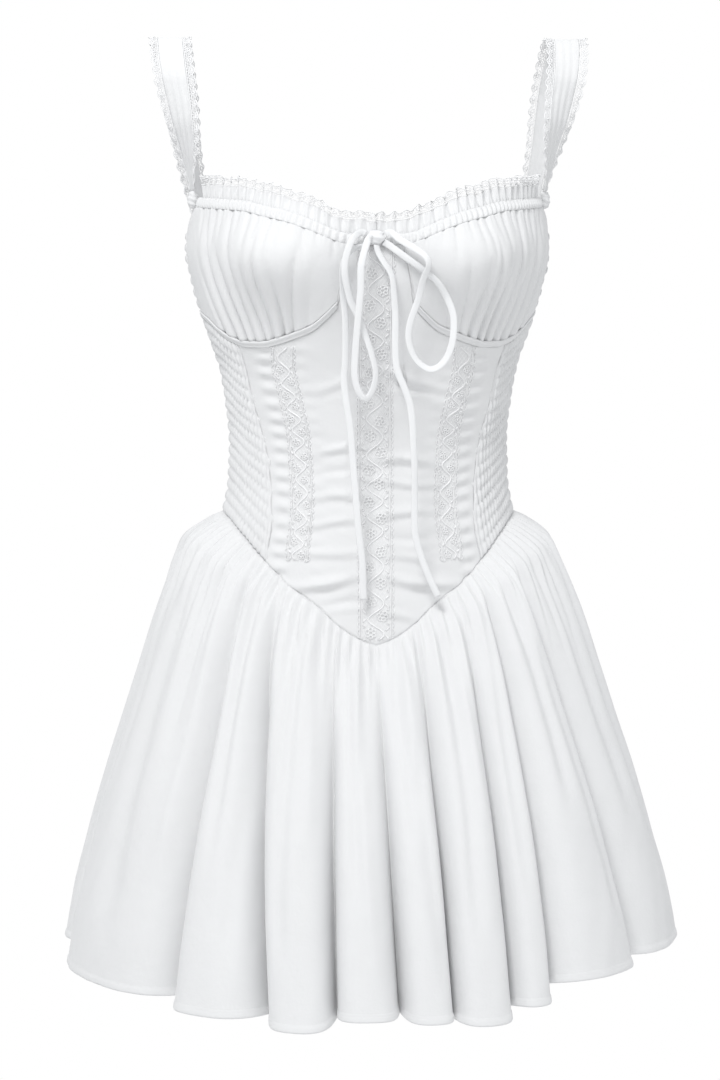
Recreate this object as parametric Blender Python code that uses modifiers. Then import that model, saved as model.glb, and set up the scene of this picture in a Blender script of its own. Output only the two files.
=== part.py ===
"""Corset dress: a short strapped dress filled out as it is worn, with nobody in it.

The wearer's left is at +X, the front faces -Y and +Z is up. The origin lies midway between the
shoulders, at the underside of the straps. Tables and sizes are in millimetres and degrees, and
every point is turned into metres when its mesh is made.

A place on the bodice is an angle round the body, 0 at centre front and 90 at the left side, and
a height. The body is two half ellipses joined at the sides, with a swell for each cup.
"""
import math

import bmesh
import bpy
import numpy as np
from mathutils import Matrix, Vector

MM = 0.001

# Cloth
CLOTH = 1.2
LACE = 1.0
SEAM_GAP = 0.3
LAY_GAP = 0.8

# Sections of the body: height, half width, depth in front, depth behind
BODY = (
    (-470, 137, 104, 104),
    (-433, 130, 99, 98),
    (-400, 122, 94, 92),
    (-372, 115, 89, 86),
    (-345, 110, 85, 80),
    (-316, 109, 83, 78),
    (-284, 112, 85, 80),
    (-260, 116, 88, 83),
    (-233, 125, 94, 87),
    (-200, 136, 99, 91),
    (-164, 143, 102, 93),
    (-142, 141, 98, 91),
    (-112, 136, 90, 86),
)

# Swell of a cup: angle and height of its middle, reach round and up, and how far it stands out
CUP_ANGLE = 30
CUP_HEIGHT = -172
CUP_REACH_ROUND = 19
CUP_REACH_UP = 36
CUP_SWELL = 26

# Seams: angle round the body, height
NECK_LINE = ((0, -154), (9.5, -152), (15, -147), (19.5, -142), (28, -135), (36, -131), (44, -127.5),
             (55, -126), (76, -124))
ARMHOLE = ((76, -132), (82, -138), (90, -150))
UNDERBUST = ((12, -203), (16, -212), (22, -222), (28, -227), (36, -232), (44, -235), (52, -235),
             (60, -232), (69, -225), (76, -218), (90, -212))
WAIST = ((0, -467), (4.6, -463), (12.5, -452), (19, -439), (30.6, -423), (46, -401), (60, -385),
         (75, -375), (90, -372), (180, -378))
GORE_FOOT_ANGLE = 12
GORE_HEAD_ANGLE = 7.7

# Seam between the front panel and the side panel: height, angle round the body
FRONT_SEAM = ((-402, 43.2), (-385, 42.7), (-360, 44.9), (-330, 48), (-300, 52.9), (-275, 56.7),
              (-240, 58.1))

# Strips along the seams
BAND_HEIGHT = 5
BAND_RISE = 0.8
BAND_CLOTH = 1.6
CASING_HEIGHT = 8
CASING_PUCKER = 1.0
RUFFLE_CLOTH = 10
RUFFLE_LACE = 7.5
RUFFLE_END_ANGLE = 72
CASING_END_ANGLE = 75
BACK_TOP = -150

# Gathers in a cup: they fan out from a point below the underbust seam
FAN_ANGLE = 38
FAN_HEIGHT = -292
FAN_SPREAD = 38
CUP_GATHERS = 13
CUP_GATHER_HEIGHT = 1.5
CUP_ROWS = 9
CUP_COLUMNS = 31

# Lace let into the bodice: distance from the middle and height of a flank strip's centre line
FLANK_LACE = ((59.5, -395), (55.5, -358), (56.5, -335), (58, -310), (63, -285), (70, -255))
FLANK_LACE_WIDTH = 18.5
CENTRE_LACE_WIDTH = 28

# Shirring: elastic every so many millimetres draws the cloth in between small puffs
SHIRR_PITCH = 9
SHIRR_PUFF = 1.6

# Skirt folds. Each row is one fold: angle of its first valley at the waist and at the hem,
# depth at the hem, lean of its crest, height of the hem at its crest, columns of points
FRONT_FOLDS = (
    (-90, -90, 46, 0.03, -724, 12),
    (-44, -43, 44, -0.03, -729, 9),
    (-34, -23, 42, 0.03, -735, 8),
    (-13, -9.5, 40, -0.02, -726, 8),
    (0, 3, 38, 0.03, -729, 7),
    (13, 13, 40, -0.03, -733, 8),
    (28, 25, 32, 0.00, -724, 7),
    (38, 33, 44, 0.03, -710, 9),
    (53, 57, 46, -0.03, -708, 10),
)
BACK_FOLDS = (
    (90, 90, 44, 0.02, -710, 6),
    (107, 105, 40, -0.03, -714, 7),
    (126, 122, 44, 0.03, -717, 7),
    (142, 140, 38, 0.00, -715, 7),
    (161, 158, 44, -0.02, -720, 7),
    (177, 176, 40, 0.03, -718, 7),
    (195, 193, 42, 0.00, -722, 7),
    (211, 210, 38, -0.03, -719, 7),
    (230, 228, 44, 0.02, -724, 7),
    (250, 249, 42, 0.00, -721, 8),
)
HEM_HALF_WIDTH = 229
HEM_FRONT = 222
HEM_BACK = 212
VALLEY_SHARE = 0.55
FOLD_BLUNTNESS = 2.6
FOLD_SQUEEZE = 0.09
HEM_EXTRA = 0.8

# How far the skirt has spread at each share of its drop, at the sides and at centre front
SIDE_SPREAD = ((0, 0), (0.056, 0.24), (0.09, 0.29), (0.156, 0.37), (0.222, 0.44), (0.356, 0.55),
               (0.49, 0.66), (0.62, 0.77), (0.756, 0.87), (0.89, 0.96), (1, 1))
FRONT_SPREAD = ((0, 0), (0.06, 0.13), (0.16, 0.27), (0.35, 0.47), (0.6, 0.72), (1, 1))
SKIRT_ROWS = (0, 0.035, 0.1, 0.2, 0.36, 0.56, 0.78, 0.984, 1)

# Small gathers under the waist seam: share of the drop, half height
WAIST_GATHERS = ((0, 0.6), (0.035, 1.9), (0.1, 2.0), (0.2, 1.0), (0.36, 0.2), (0.5, 0), (1, 0))

# Straps, from the knot in front over the shoulder to the back: centre, turn of the width from
# +X towards +Y, half width of the cloth, half width with its lace
STRAP = (
    (138.5, -16, -118.4, 76, 4.0, 7.0),
    (140.5, -22, -105, 70, 6.5, 12.0),
    (143, -31, -86, 56, 9.0, 16.0),
    (147, -38, -62, 36, 9.5, 17.0),
    (151.5, -37, -36, 16, 9.5, 17.0),
    (154.5, -26, -13, 5, 9.5, 17.0),
    (155.5, -9, -0.5, 0, 9.5, 17.0),
    (155.5, 8, 0.5, 0, 9.5, 17.0),
    (153.5, 25, -13, -6, 9.5, 17.0),
    (149, 36, -41, -22, 9.5, 17.0),
    (143.5, 40, -78, -42, 9.5, 17.0),
    (136.5, 41, -116, -57, 9.5, 17.0),
    (129, 42.5, -149.4, -65, 9.5, 17.0),
)
STRAP_STEPS = 2
KNOT_SIZE = (5.0, 5.6, 7.0)
KNOT_PLACE = (138, -16, -126)

# The tie at the neck. Each length leaves the knot in a direction of its own, and its route is
# then read as distance to the left, height, and how many thicknesses of tie lie under it
TIE_RADIUS = 1.9
TIE_STEP = 15
TIE_SEAT = 0.35
TIE_LEAD = 5
BOW_KNOT_SIZE = (7.6, 4.4, 5.2)
BOW_KNOT_PLACE = (-1, -155.5)
TAIL_RIGHT_EXIT = (-0.8, 0, -0.6)
LOOP_RIGHT_EXIT = (-0.95, -0.15, 0.28)
LOOP_RIGHT_RETURN = (-0.62, -0.75, -0.22)
LOOP_LEFT_EXIT = (0.95, -0.15, 0.28)
LOOP_LEFT_RETURN = (0.86, 0, -0.5)
TAIL_LEFT_EXIT = (0.15, -0.1, -0.98)
TAIL_RIGHT = ((-19, -165, 0), (-26, -176, 0), (-26, -197, 0), (-24, -217, 0),
              (-24, -249, 0), (-25, -263, 0), (-23, -281, 0), (-20, -301, 0), (-18, -328, 0),
              (-16, -352, 0), (-14, -376, 0), (-11, -402, 0), (-10, -431, 0))
LOOP_RIGHT = ((-20, -159, 1.2), (-25, -178, 1.3), (-21, -201, 1.1), (-15, -214, 0.8),
              (-9, -229, 0.5), (-4, -244, 0.4), (-1, -259, 0.4), (-4, -272, 0.5), (-9, -277, 0.7),
              (-14, -272, 0.9), (-17, -261, 1.1), (-17, -245, 1.4), (-15, -218, 2.1), (-13, -195, 2.4),
              (-12.5, -176, 2.4))
LOOP_LEFT = ((18, -158, 1.1), (28, -164, 1.1), (36, -170, 1.2), (38, -177, 1.2),
             (34, -188, 1.2), (31, -202, 1.0), (25, -220, 0.6), (24, -233, 0.5), (28, -245, 0.5),
             (34, -252, 0.5), (42, -255, 0.5), (51, -249, 0.4), (57, -235, 0.3), (58, -216, 0.1),
             (53, -201, 0), (45, -189, 0), (33, -179, 0), (22, -171, 0))
TAIL_LEFT = ((5, -174, 0), (11, -184, 0), (13, -199, 0), (14, -217, 0),
             (14, -239, 0), (15, -254, 0), (20, -267, 0), (25, -281, 0), (27, -296, 0),
             (28, -313, 0), (29, -336, 0), (29, -373, 0), (31, -388, 0), (38, -409, 0),
             (47, -429, 0))

MATERIALS = {
    "cotton": ((0.86, 0.86, 0.86), 0.85),
    "lace": ((0.92, 0.92, 0.92), 0.8),
    "tie": ((0.9, 0.9, 0.9), 0.7),
}


# Tables and curves

def curve_value(table, x, column=1):
    """Value of a table's column at x, on a smooth curve that never swings past its rows."""
    keys = [row[0] for row in table]
    values = [row[column] for row in table]
    last = len(keys) - 1
    if x <= keys[0]:
        return values[0]
    if x >= keys[last]:
        return values[last]
    i = 0
    while keys[i + 1] < x:
        i += 1
    slopes = [(values[k + 1] - values[k]) / (keys[k + 1] - keys[k]) for k in range(last)]

    def tangent(k):
        if k == 0:
            return slopes[0]
        if k == last:
            return slopes[last - 1]
        if slopes[k - 1] * slopes[k] <= 0:
            return 0.0
        return 2 * slopes[k - 1] * slopes[k] / (slopes[k - 1] + slopes[k])

    span = keys[i + 1] - keys[i]
    t = (x - keys[i]) / span
    rise = (values[i] * (1 + 2 * t) * (1 - t) ** 2 + values[i + 1] * t * t * (3 - 2 * t))
    return rise + span * (tangent(i) * t * (1 - t) ** 2 - tangent(i + 1) * t * t * (1 - t))


def smooth_path(points, step):
    """Points about one step apart on a smooth curve through the given points."""
    points = [np.array(point, dtype=float) for point in points]
    ends = [2 * points[0] - points[1]] + points + [2 * points[-1] - points[-2]]
    path = []
    for k in range(1, len(ends) - 2):
        before, start, stop, after = ends[k - 1:k + 3]
        pieces = max(1, round(np.linalg.norm(stop - start) / step))
        for piece in range(pieces):
            t = piece / pieces
            path.append(0.5 * (2 * start + (stop - before) * t
                               + (2 * before - 5 * start + 4 * stop - after) * t * t
                               + (3 * start - before - 3 * stop + after) * t ** 3))
    path.append(points[-1])
    return path


def mix(a, b, t):
    """Value that lies the share t of the way from a to b."""
    return a + (b - a) * t


def spread(first, last, count):
    """Evenly spaced values, both ends included."""
    return [mix(first, last, k / (count - 1)) for k in range(count)]


# The body that the bodice follows

def body_section(z):
    """Half width, front depth and back depth of the body at a height."""
    return tuple(curve_value(BODY, z, column) for column in (1, 2, 3))


def cup_swell(angle, z):
    """How far the cups stand out of the plain section."""
    around = (abs(angle) - CUP_ANGLE) / CUP_REACH_ROUND
    up = (z - CUP_HEIGHT) / CUP_REACH_UP
    return CUP_SWELL * math.exp(-around * around - up * up)


def body_point(angle, z, relief=0.0):
    """Point on the outer face of the bodice, raised by relief along the section's normal."""
    half_width, front, back = body_section(z)
    depth = front if math.cos(math.radians(angle)) > 0 else back
    turn = math.radians(angle)
    normal = np.array((math.sin(turn) / half_width, -math.cos(turn) / depth, 0.0))
    normal /= np.linalg.norm(normal)
    place = np.array((half_width * math.sin(turn), -depth * math.cos(turn), z))
    swell = cup_swell(angle, z) if abs(angle) < 90 else 0.0
    return place + normal * (swell + relief)


def angle_of(x, z):
    """Angle round the body of a point of the front at distance x from the middle."""
    return math.degrees(math.asin(x / body_section(z)[0]))


# Meshes

def material(name):
    """Principled material of one cloth."""
    found = bpy.data.materials.get(name)
    if found:
        return found
    colour, roughness = MATERIALS[name]
    made = bpy.data.materials.new(name)
    made.use_nodes = True
    shader = made.node_tree.nodes["Principled BSDF"]
    shader.inputs["Base Color"].default_value = (*colour, 1)
    shader.inputs["Roughness"].default_value = roughness
    shader.inputs["Metallic"].default_value = 0.0
    return made


def finish_object(name, mesh, cloth):
    """Object of the dress with its cloth, shaded smooth."""
    mesh.materials.append(material(cloth))
    mesh.shade_smooth()
    mesh.set_sharp_from_angle(angle=math.radians(50))
    made = bpy.data.objects.new(name, mesh)
    dress.objects.link(made)
    return made


def grid_faces(rows, columns, start=0):
    """Quads of a grid of points, whose rows rise and whose columns run to the left."""
    faces = []
    for i in range(rows - 1):
        for j in range(columns - 1):
            corner = start + i * columns + j
            faces.append((corner, corner + 1, corner + columns + 1, corner + columns))
    return faces


def sheet(name, grid, thickness, cloth, inward=True):
    """Wall of even thickness on a grid of points, grown inwards or outwards from it."""
    points = [Vector(point) * MM for row in grid for point in row]
    mesh = bpy.data.meshes.new(name)
    mesh.from_pydata(points, [], grid_faces(len(grid), len(grid[0])))
    made = finish_object(name, mesh, cloth)
    solid = made.modifiers.new("wall", "SOLIDIFY")
    solid.thickness = thickness * MM
    solid.offset = -1 if inward else 1
    return made


def grid_normals(grid):
    """Outward unit normals at the points of a grid."""
    points = np.array(grid, dtype=float)
    along = np.gradient(points, axis=1)
    up = np.gradient(points, axis=0)
    normals = np.cross(along, up)
    return normals / np.linalg.norm(normals, axis=2, keepdims=True)


def fold_normals(points):
    """Outward unit normals of a folded grid, halfway between the walls that meet at a column."""
    runs = np.diff(points, axis=1)
    runs /= np.linalg.norm(runs, axis=2, keepdims=True)
    across = np.concatenate((runs[:, :1], runs[:, :-1] + runs[:, 1:], runs[:, -1:]), axis=1)
    normals = np.cross(across, np.gradient(points, axis=0))
    return normals / np.linalg.norm(normals, axis=2, keepdims=True)


def wall(name, outer, inner, cloth):
    """Closed wall between an outer grid and an inner one that has every row or every second."""
    rows = len(outer)
    columns = len(outer[0])
    stride = (rows - 1) // (len(inner) - 1)
    points = [Vector(point) * MM for grid in (outer, inner) for row in grid for point in row]
    first_inner = rows * columns
    faces = grid_faces(rows, columns)
    faces += [face[::-1] for face in grid_faces(len(inner), columns, first_inner)]
    last = columns - 1
    for i in range(len(inner) - 1):
        low = first_inner + i * columns
        outside = [(i * stride + k) * columns for k in range(stride + 1)]
        faces.append([*outside, low + columns, low])
        faces.append([*[corner + last for corner in outside], low + columns + last, low + last][::-1])
    top = (rows - 1) * columns
    inner_top = first_inner + (len(inner) - 1) * columns
    for j in range(columns - 1):
        faces.append((first_inner + j, first_inner + j + 1, j + 1, j))
        faces.append((top + j, top + j + 1, inner_top + j + 1, inner_top + j))
    mesh = bpy.data.meshes.new(name)
    mesh.from_pydata(points, [], faces)
    shape = bmesh.new()
    shape.from_mesh(mesh)
    bmesh.ops.recalc_face_normals(shape, faces=shape.faces)
    shape.to_mesh(mesh)
    shape.free()
    return finish_object(name, mesh, cloth)


def bodice_wall(name, spots, thickness, cloth, stride=1):
    """Wall of the bodice on a grid of angles, heights and reliefs, its edges level.

    The inside keeps every row, or one row in each stride.
    """
    outer = [[body_point(angle, z, relief) for angle, z, relief in row] for row in spots]
    inner = [[body_point(angle, z, relief - thickness) for angle, z, relief in row]
             for row in spots[::stride]]
    wall(name, outer, inner, cloth)
    return np.array(outer)


def side_name(side):
    """The wearer's left is at +X."""
    return "left" if side > 0 else "right"


def gap_angle(gap, z):
    """Angle that a gap takes up round the body."""
    return math.degrees(gap / body_section(z)[0])


# Front panel with its gore, and the lace on it

def panel_top(angle):
    """Upper edge of the front panel: under the bands, and up both sides of the gore."""
    angle = abs(angle)
    band_foot = curve_value(UNDERBUST, GORE_FOOT_ANGLE) - BAND_HEIGHT - SEAM_GAP
    gore_head = curve_value(NECK_LINE, GORE_HEAD_ANGLE) - CASING_HEIGHT - SEAM_GAP
    if angle <= GORE_HEAD_ANGLE:
        return curve_value(NECK_LINE, angle) - CASING_HEIGHT - SEAM_GAP
    if angle < GORE_FOOT_ANGLE:
        share = (angle - GORE_HEAD_ANGLE) / (GORE_FOOT_ANGLE - GORE_HEAD_ANGLE)
        return mix(gore_head, band_foot, share)
    return curve_value(UNDERBUST, angle) - BAND_HEIGHT - SEAM_GAP


def panel_place(share, t):
    """Angle and height at a share of the panel's half width and of its height."""
    z = -330.0
    for _ in range(12):
        angle = share * curve_value(FRONT_SEAM, z)
        z = mix(curve_value(WAIST, abs(angle)) + SEAM_GAP / 2, panel_top(angle), t)
    return angle, z


def panel_shares():
    """Shares of the half width at which the panel has columns, closer beside the gore."""
    widest = curve_value(FRONT_SEAM, FRONT_SEAM[-1][0])
    head = GORE_HEAD_ANGLE / widest
    foot = GORE_FOOT_ANGLE / widest
    half = spread(0, head, 3) + spread(head, foot, 5)[1:] + spread(foot, 1, 13)[1:]
    return [-share for share in reversed(half[1:])] + half


PANEL_SHARES = panel_shares()
PANEL_ROWS = 13


def panel_spots():
    """Angles, heights and reliefs of the front panel's outer face."""
    spots = []
    for t in spread(0, 1, PANEL_ROWS):
        row = []
        for share in PANEL_SHARES:
            angle, z = panel_place(share, t)
            inset = gap_angle(SEAM_GAP / 2, z) * share
            row.append((angle - inset, z, 0.0))
        spots.append(row)
    return spots


def panel_spot(grid, normals, x, z, out):
    """Point moved out from the front panel's own faces, at a distance from the middle."""
    angle = angle_of(x, z)
    foot = curve_value(WAIST, abs(angle))
    t = (z - foot) / (panel_top(angle) - foot)
    row = min(max(t, 0.0), 1.0) * (PANEL_ROWS - 1)
    share = angle / curve_value(FRONT_SEAM, z)
    column = float(np.interp(share, PANEL_SHARES, range(len(PANEL_SHARES))))
    i = min(int(row), PANEL_ROWS - 2)
    j = min(int(column), len(PANEL_SHARES) - 2)

    def between(values):
        low = mix(values[i, j], values[i, j + 1], column - j)
        high = mix(values[i + 1, j], values[i + 1, j + 1], column - j)
        return mix(low, high, row - i)

    normal = between(normals)
    place = between(grid)
    return place + normal / np.linalg.norm(normal) * out


def add_front_panel():
    """Front panel and its three strips of lace."""
    grid = bodice_wall("front_panel", panel_spots(), CLOTH, "cotton")
    normals = grid_normals(grid)
    half = CENTRE_LACE_WIDTH / 2
    strip = []
    for t in spread(0.004, 0.996, 17):
        row = []
        for x in spread(-half, half, 4):
            foot = curve_value(WAIST, abs(angle_of(x, -440))) + 2
            head = panel_top(0) - 1
            row.append(panel_spot(grid, normals, x, mix(foot, head, t), LAY_GAP))
        strip.append(row)
    sheet("lace_strip_centre", strip, LACE, "lace", inward=False)
    for side in (1, -1):
        strip = []
        for t in spread(0, 1, 14):
            row = []
            for across in spread(-0.5, 0.5, 3):
                guess = mix(FLANK_LACE[0][1], FLANK_LACE[-1][1], t)
                x = curve_value([(z, x) for x, z in FLANK_LACE], guess) + across * FLANK_LACE_WIDTH
                angle = angle_of(x, guess)
                z = mix(curve_value(WAIST, angle) + 1.5, panel_top(angle) - 1, t)
                x = curve_value([(z, x) for x, z in FLANK_LACE], z) + across * FLANK_LACE_WIDTH
                row.append(panel_spot(grid, normals, side * x, z, LAY_GAP))
            strip.append(row if side > 0 else row[::-1])
        sheet("lace_strip_" + side_name(side), strip, LACE, "lace", inward=False)


# Cups, bands, casings and ruffles

def cup_top(angle):
    """Upper edge of a cup: under the casing, then the armhole."""
    if angle < ARMHOLE[0][0]:
        return curve_value(NECK_LINE, angle) - CASING_HEIGHT - SEAM_GAP
    return curve_value(ARMHOLE, angle)


def cup_gather(angle, z):
    """Relief of the gathers that fan over a cup, deep at the underbust and soft above."""
    bearing = math.degrees(math.atan2(1.6 * (abs(angle) - FAN_ANGLE), z - FAN_HEIGHT))
    if abs(bearing) > FAN_SPREAD:
        return 0.0
    edge = math.cos(math.radians(90 * bearing / FAN_SPREAD))
    rise = min(max((z + 235) / 100, 0.0), 1.0)
    depth = mix(1.0, 0.3, rise)
    wave = math.cos(math.pi * CUP_GATHERS * bearing / FAN_SPREAD)
    return CUP_GATHER_HEIGHT * depth * math.sqrt(edge) * wave


def add_cup(side):
    """Cup, gathered along both edges, and the band below it."""
    cup = []
    for t in spread(0, 1, CUP_ROWS):
        row = []
        for s in spread(0, 1, CUP_COLUMNS):
            foot = mix(GORE_FOOT_ANGLE + 0.2, 90, s)
            head = mix(GORE_HEAD_ANGLE + 0.2, 90, s)
            angle = mix(foot, head, t)
            z = mix(curve_value(UNDERBUST, foot) + SEAM_GAP, cup_top(head), t)
            angle -= s * gap_angle(SEAM_GAP / 2, z)
            row.append((side * angle, z, cup_gather(angle, z)))
        cup.append(row if side > 0 else row[::-1])
    bodice_wall("cup_" + side_name(side), cup, CLOTH, "cotton", stride=2)
    band = []
    for t in (0, 1):
        row = []
        for s in spread(0, 1, 27):
            angle = mix(GORE_FOOT_ANGLE + 0.3, 90 - gap_angle(SEAM_GAP / 2, -212), s)
            z = curve_value(UNDERBUST, angle) - BAND_HEIGHT * (1 - t)
            row.append((side * angle, z, BAND_RISE))
        band.append(row if side > 0 else row[::-1])
    bodice_wall("underbust_band_" + side_name(side), band, BAND_CLOTH, "cotton")


def add_neck(side):
    """Casing of the tie, the ruffle above it and the ruffle's lace."""
    def strip(name, foot, head, rows, last, columns, relief, thickness, cloth):
        spots = []
        for t in spread(0, 1, rows):
            row = []
            for k in range(columns):
                angle = mix(gap_angle(SEAM_GAP / 2, -154), last, k / (columns - 1))
                above = mix(foot, head, t)
                z = curve_value(NECK_LINE, angle) + above
                row.append((side * angle, z, relief(k, above)))
            spots.append(row if side > 0 else row[::-1])
        bodice_wall(name + "_" + side_name(side), spots, thickness, cloth)

    def puckers(k, above):
        return CASING_PUCKER * (k % 2)

    def waves(k, above):
        swing = mix(0.5, 2.6, above / (RUFFLE_CLOTH + RUFFLE_LACE))
        return swing * (-1) ** k + 0.5 + above * 0.08

    ruffle_columns = 31
    strip("neck_casing", -CASING_HEIGHT, 0, 2, CASING_END_ANGLE, ruffle_columns, puckers,
          CLOTH, "cotton")
    strip("neck_ruffle", SEAM_GAP, RUFFLE_CLOTH, 2, RUFFLE_END_ANGLE, ruffle_columns, waves,
          CLOTH, "cotton")
    strip("neck_lace", RUFFLE_CLOTH + SEAM_GAP, RUFFLE_CLOTH + RUFFLE_LACE, 2, RUFFLE_END_ANGLE,
          ruffle_columns, waves, LACE, "lace")


# Shirred panels

def shirred(name, place, first, last, columns, low, high):
    """Panel with rows of puffs between elastic, smooth inside."""
    puffs = max(2, round((high - low) / SHIRR_PITCH))
    rows = 2 * puffs + 1
    outer = []
    inner = []
    for i in range(rows):
        puff = SHIRR_PUFF if i % 2 else 0.0
        spots = [place(mix(first, last, k / (columns - 1)), i / (rows - 1)) for k in range(columns)]
        outer.append([body_point(angle, z, puff) for angle, z in spots])
        if i % 2 == 0:
            inner.append([body_point(angle, z, -CLOTH) for angle, z in spots])
    wall(name, outer, inner, "cotton")


def add_shirred_panels():
    """Side panels beside the front, and the back."""
    for side in (1, -1):
        def side_place(share, t, side=side):
            z = -300.0
            for _ in range(12):
                seam = curve_value(FRONT_SEAM, z) + gap_angle(1.2 * SEAM_GAP, z)
                angle = mix(seam, 90 - gap_angle(SEAM_GAP / 2, z), abs(share))
                foot = curve_value(WAIST, angle) + 1.5 * SEAM_GAP
                head = curve_value(UNDERBUST, angle) - BAND_HEIGHT - 1.5 * SEAM_GAP
                z = mix(foot, head, t)
            return side * angle, z

        ends = (0, 1) if side > 0 else (1, 0)
        shirred("side_smocked_" + side_name(side), side_place, *ends, 6, -380, -225)

    def back_place(angle, t):
        foot = curve_value(WAIST, min(angle, 360 - angle)) + SEAM_GAP / 2
        edge = gap_angle(SEAM_GAP / 2, -260)
        return mix(angle, 180, edge / 90), mix(foot, BACK_TOP, t)

    shirred("back_panel", back_place, 90, 270, 13, -375, BACK_TOP)


# Skirt

def skirt_spot(folds, index, q, t):
    """Point of the skirt's outer face at the share q of a fold and the share t of its drop."""
    count = len(folds)
    fold = folds[index]
    end = folds[index + 1] if index + 1 < count else (folds[0][0] + 180, folds[0][1] + 180)
    before = folds[index - 1] if index > 0 else fold
    after = folds[index + 1] if index + 1 < count else fold
    bloom = t ** 0.7
    crest = 1 - abs(2 * q - 1) ** FOLD_BLUNTNESS
    shift = q - FOLD_SQUEEZE * bloom * math.sin(2 * math.pi * q) + fold[3] * bloom * crest
    angle = mix(mix(fold[0], fold[1], t), mix(end[0], end[1], t), shift)
    valley_depth = mix((before[2] + fold[2]) / 2, (fold[2] + after[2]) / 2, q)
    valley_hem = mix((before[4] + fold[4]) / 2, (fold[4] + after[4]) / 2, q)
    ripple = mix(-VALLEY_SHARE * valley_depth, (1 - VALLEY_SHARE) * fold[2], crest)
    folded = angle if angle <= 180 else 360 - angle
    waist = curve_value(WAIST, abs(folded)) - SEAM_GAP / 2
    z = mix(waist, mix(valley_hem, fold[4], crest), t)
    top = body_point(angle, waist)
    turn = math.radians(angle)
    depth = HEM_FRONT if math.cos(turn) > 0 else HEM_BACK
    hem = np.array((HEM_HALF_WIDTH * math.sin(turn), -depth * math.cos(turn), 0.0))
    frontness = max(math.cos(turn), 0.0) ** 2
    out = mix(curve_value(SIDE_SPREAD, t), curve_value(FRONT_SPREAD, t), frontness)
    place = mix(top, hem, out)
    place[2] = z
    outward = np.array((hem[0], hem[1], 0.0)) / math.hypot(hem[0], hem[1])
    return place + outward * ripple * bloom, outward


def add_skirt(name, folds, first_angle):
    """One half of the skirt, from side seam to side seam, with a rolled hem."""
    last = len(folds) - 1
    columns = []
    for index, fold in enumerate(folds):
        columns += [(index, k / fold[5]) for k in range(fold[5])]
    columns.append((last, 1.0))
    outer = []
    for t in reversed(SKIRT_ROWS):
        row = []
        for k, (index, q) in enumerate(columns):
            spot, outward = skirt_spot(folds, index, q, t)
            gather = curve_value(WAIST_GATHERS, t) * (1 if k % 2 else -1)
            row.append(spot + outward * gather)
        outer.append(row)
    grid = np.array(outer)
    middle = -1 if first_angle < 0 else 1
    for end in (0, -1):
        grid[:, end, 1] = middle * SEAM_GAP / 2
    normals = fold_normals(grid)
    inner = grid - normals * CLOTH
    rolled = grid.copy()
    rolled[:2] += normals[:2] * HEM_EXTRA
    for end in (0, -1):
        inner[:, end, 1] = middle * np.maximum(middle * inner[:, end, 1], SEAM_GAP / 2)
        rolled[:, end, 1] = middle * SEAM_GAP / 2
    wall(name, rolled, inner, "cotton")


# Straps

def add_strap(side):
    """Strap with scalloped lace along both edges, and the knot at its foot."""
    rows = []
    for k in range(len(STRAP) - 1):
        for piece in range(STRAP_STEPS):
            rows.append(k + piece / STRAP_STEPS)
    rows.append(len(STRAP) - 1)
    indexed = [(k, *row) for k, row in enumerate(STRAP)]
    centres = []
    for place in rows:
        centres.append(np.array([curve_value(indexed, place, column) for column in (1, 2, 3)]))

    def band(name, cloth, thickness, edges):
        grid = []
        for place, centre in zip(rows, centres):
            turn = math.radians(curve_value(indexed, place, 4))
            width = np.array((math.cos(turn), math.sin(turn), 0.0))
            core = curve_value(indexed, place, 5)
            whole = curve_value(indexed, place, 6)
            row = [centre + width * across for across in edges(core, whole)]
            for point in row:
                point[0] *= side
            grid.append(row if side > 0 else row[::-1])
        sheet(name + "_" + side_name(side), grid, thickness, cloth)

    band("strap", "cotton", CLOTH, lambda core, whole: spread(-core, core, 3))
    band("strap_lace_inner", "lace", LACE,
         lambda core, whole: spread(-whole, -core - SEAM_GAP, 2))
    band("strap_lace_outer", "lace", LACE,
         lambda core, whole: spread(core + SEAM_GAP, whole, 2))
    x, y, z = KNOT_PLACE
    add_knot("strap_knot_" + side_name(side), (side * x, y, z), KNOT_SIZE, "cotton")


def add_knot(name, place, size, cloth):
    """Rounded knot of cloth."""
    mesh = bpy.data.meshes.new(name)
    shape = bmesh.new()
    stretch = Matrix.Translation(Vector(place) * MM) @ Matrix.Diagonal((*[s * MM for s in size], 1))
    bmesh.ops.create_uvsphere(shape, u_segments=12, v_segments=8, radius=1, matrix=stretch)
    shape.to_mesh(mesh)
    shape.free()
    finish_object(name, mesh, cloth)


# The tie at the neck

def front_cover(x, z):
    """How far forward the bodice and what hangs straight from the knot reach."""
    surface = -body_point(angle_of(x, z), z)[1]
    over_cup = 1.2 if abs(x) > 18 else 0.0
    hanging = mix(106.5, 103.5, min(max((-156 - z) / 275, 0.0), 1.0))
    return max(surface + over_cup, hanging)


def bow_knot_centre():
    """Middle of the knot, resting on the casing at centre front."""
    x, z = BOW_KNOT_PLACE
    return np.array((x, body_point(0, z)[1] - CASING_PUCKER - SEAM_GAP - BOW_KNOT_SIZE[1], z))


def knot_exit(direction, beyond):
    """Place beyond the knot's surface in a direction from its middle."""
    direction = np.array(direction) / np.linalg.norm(direction)
    reach = 1 / np.linalg.norm(direction / np.array(BOW_KNOT_SIZE))
    return bow_knot_centre() + direction * (reach + beyond)


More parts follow.
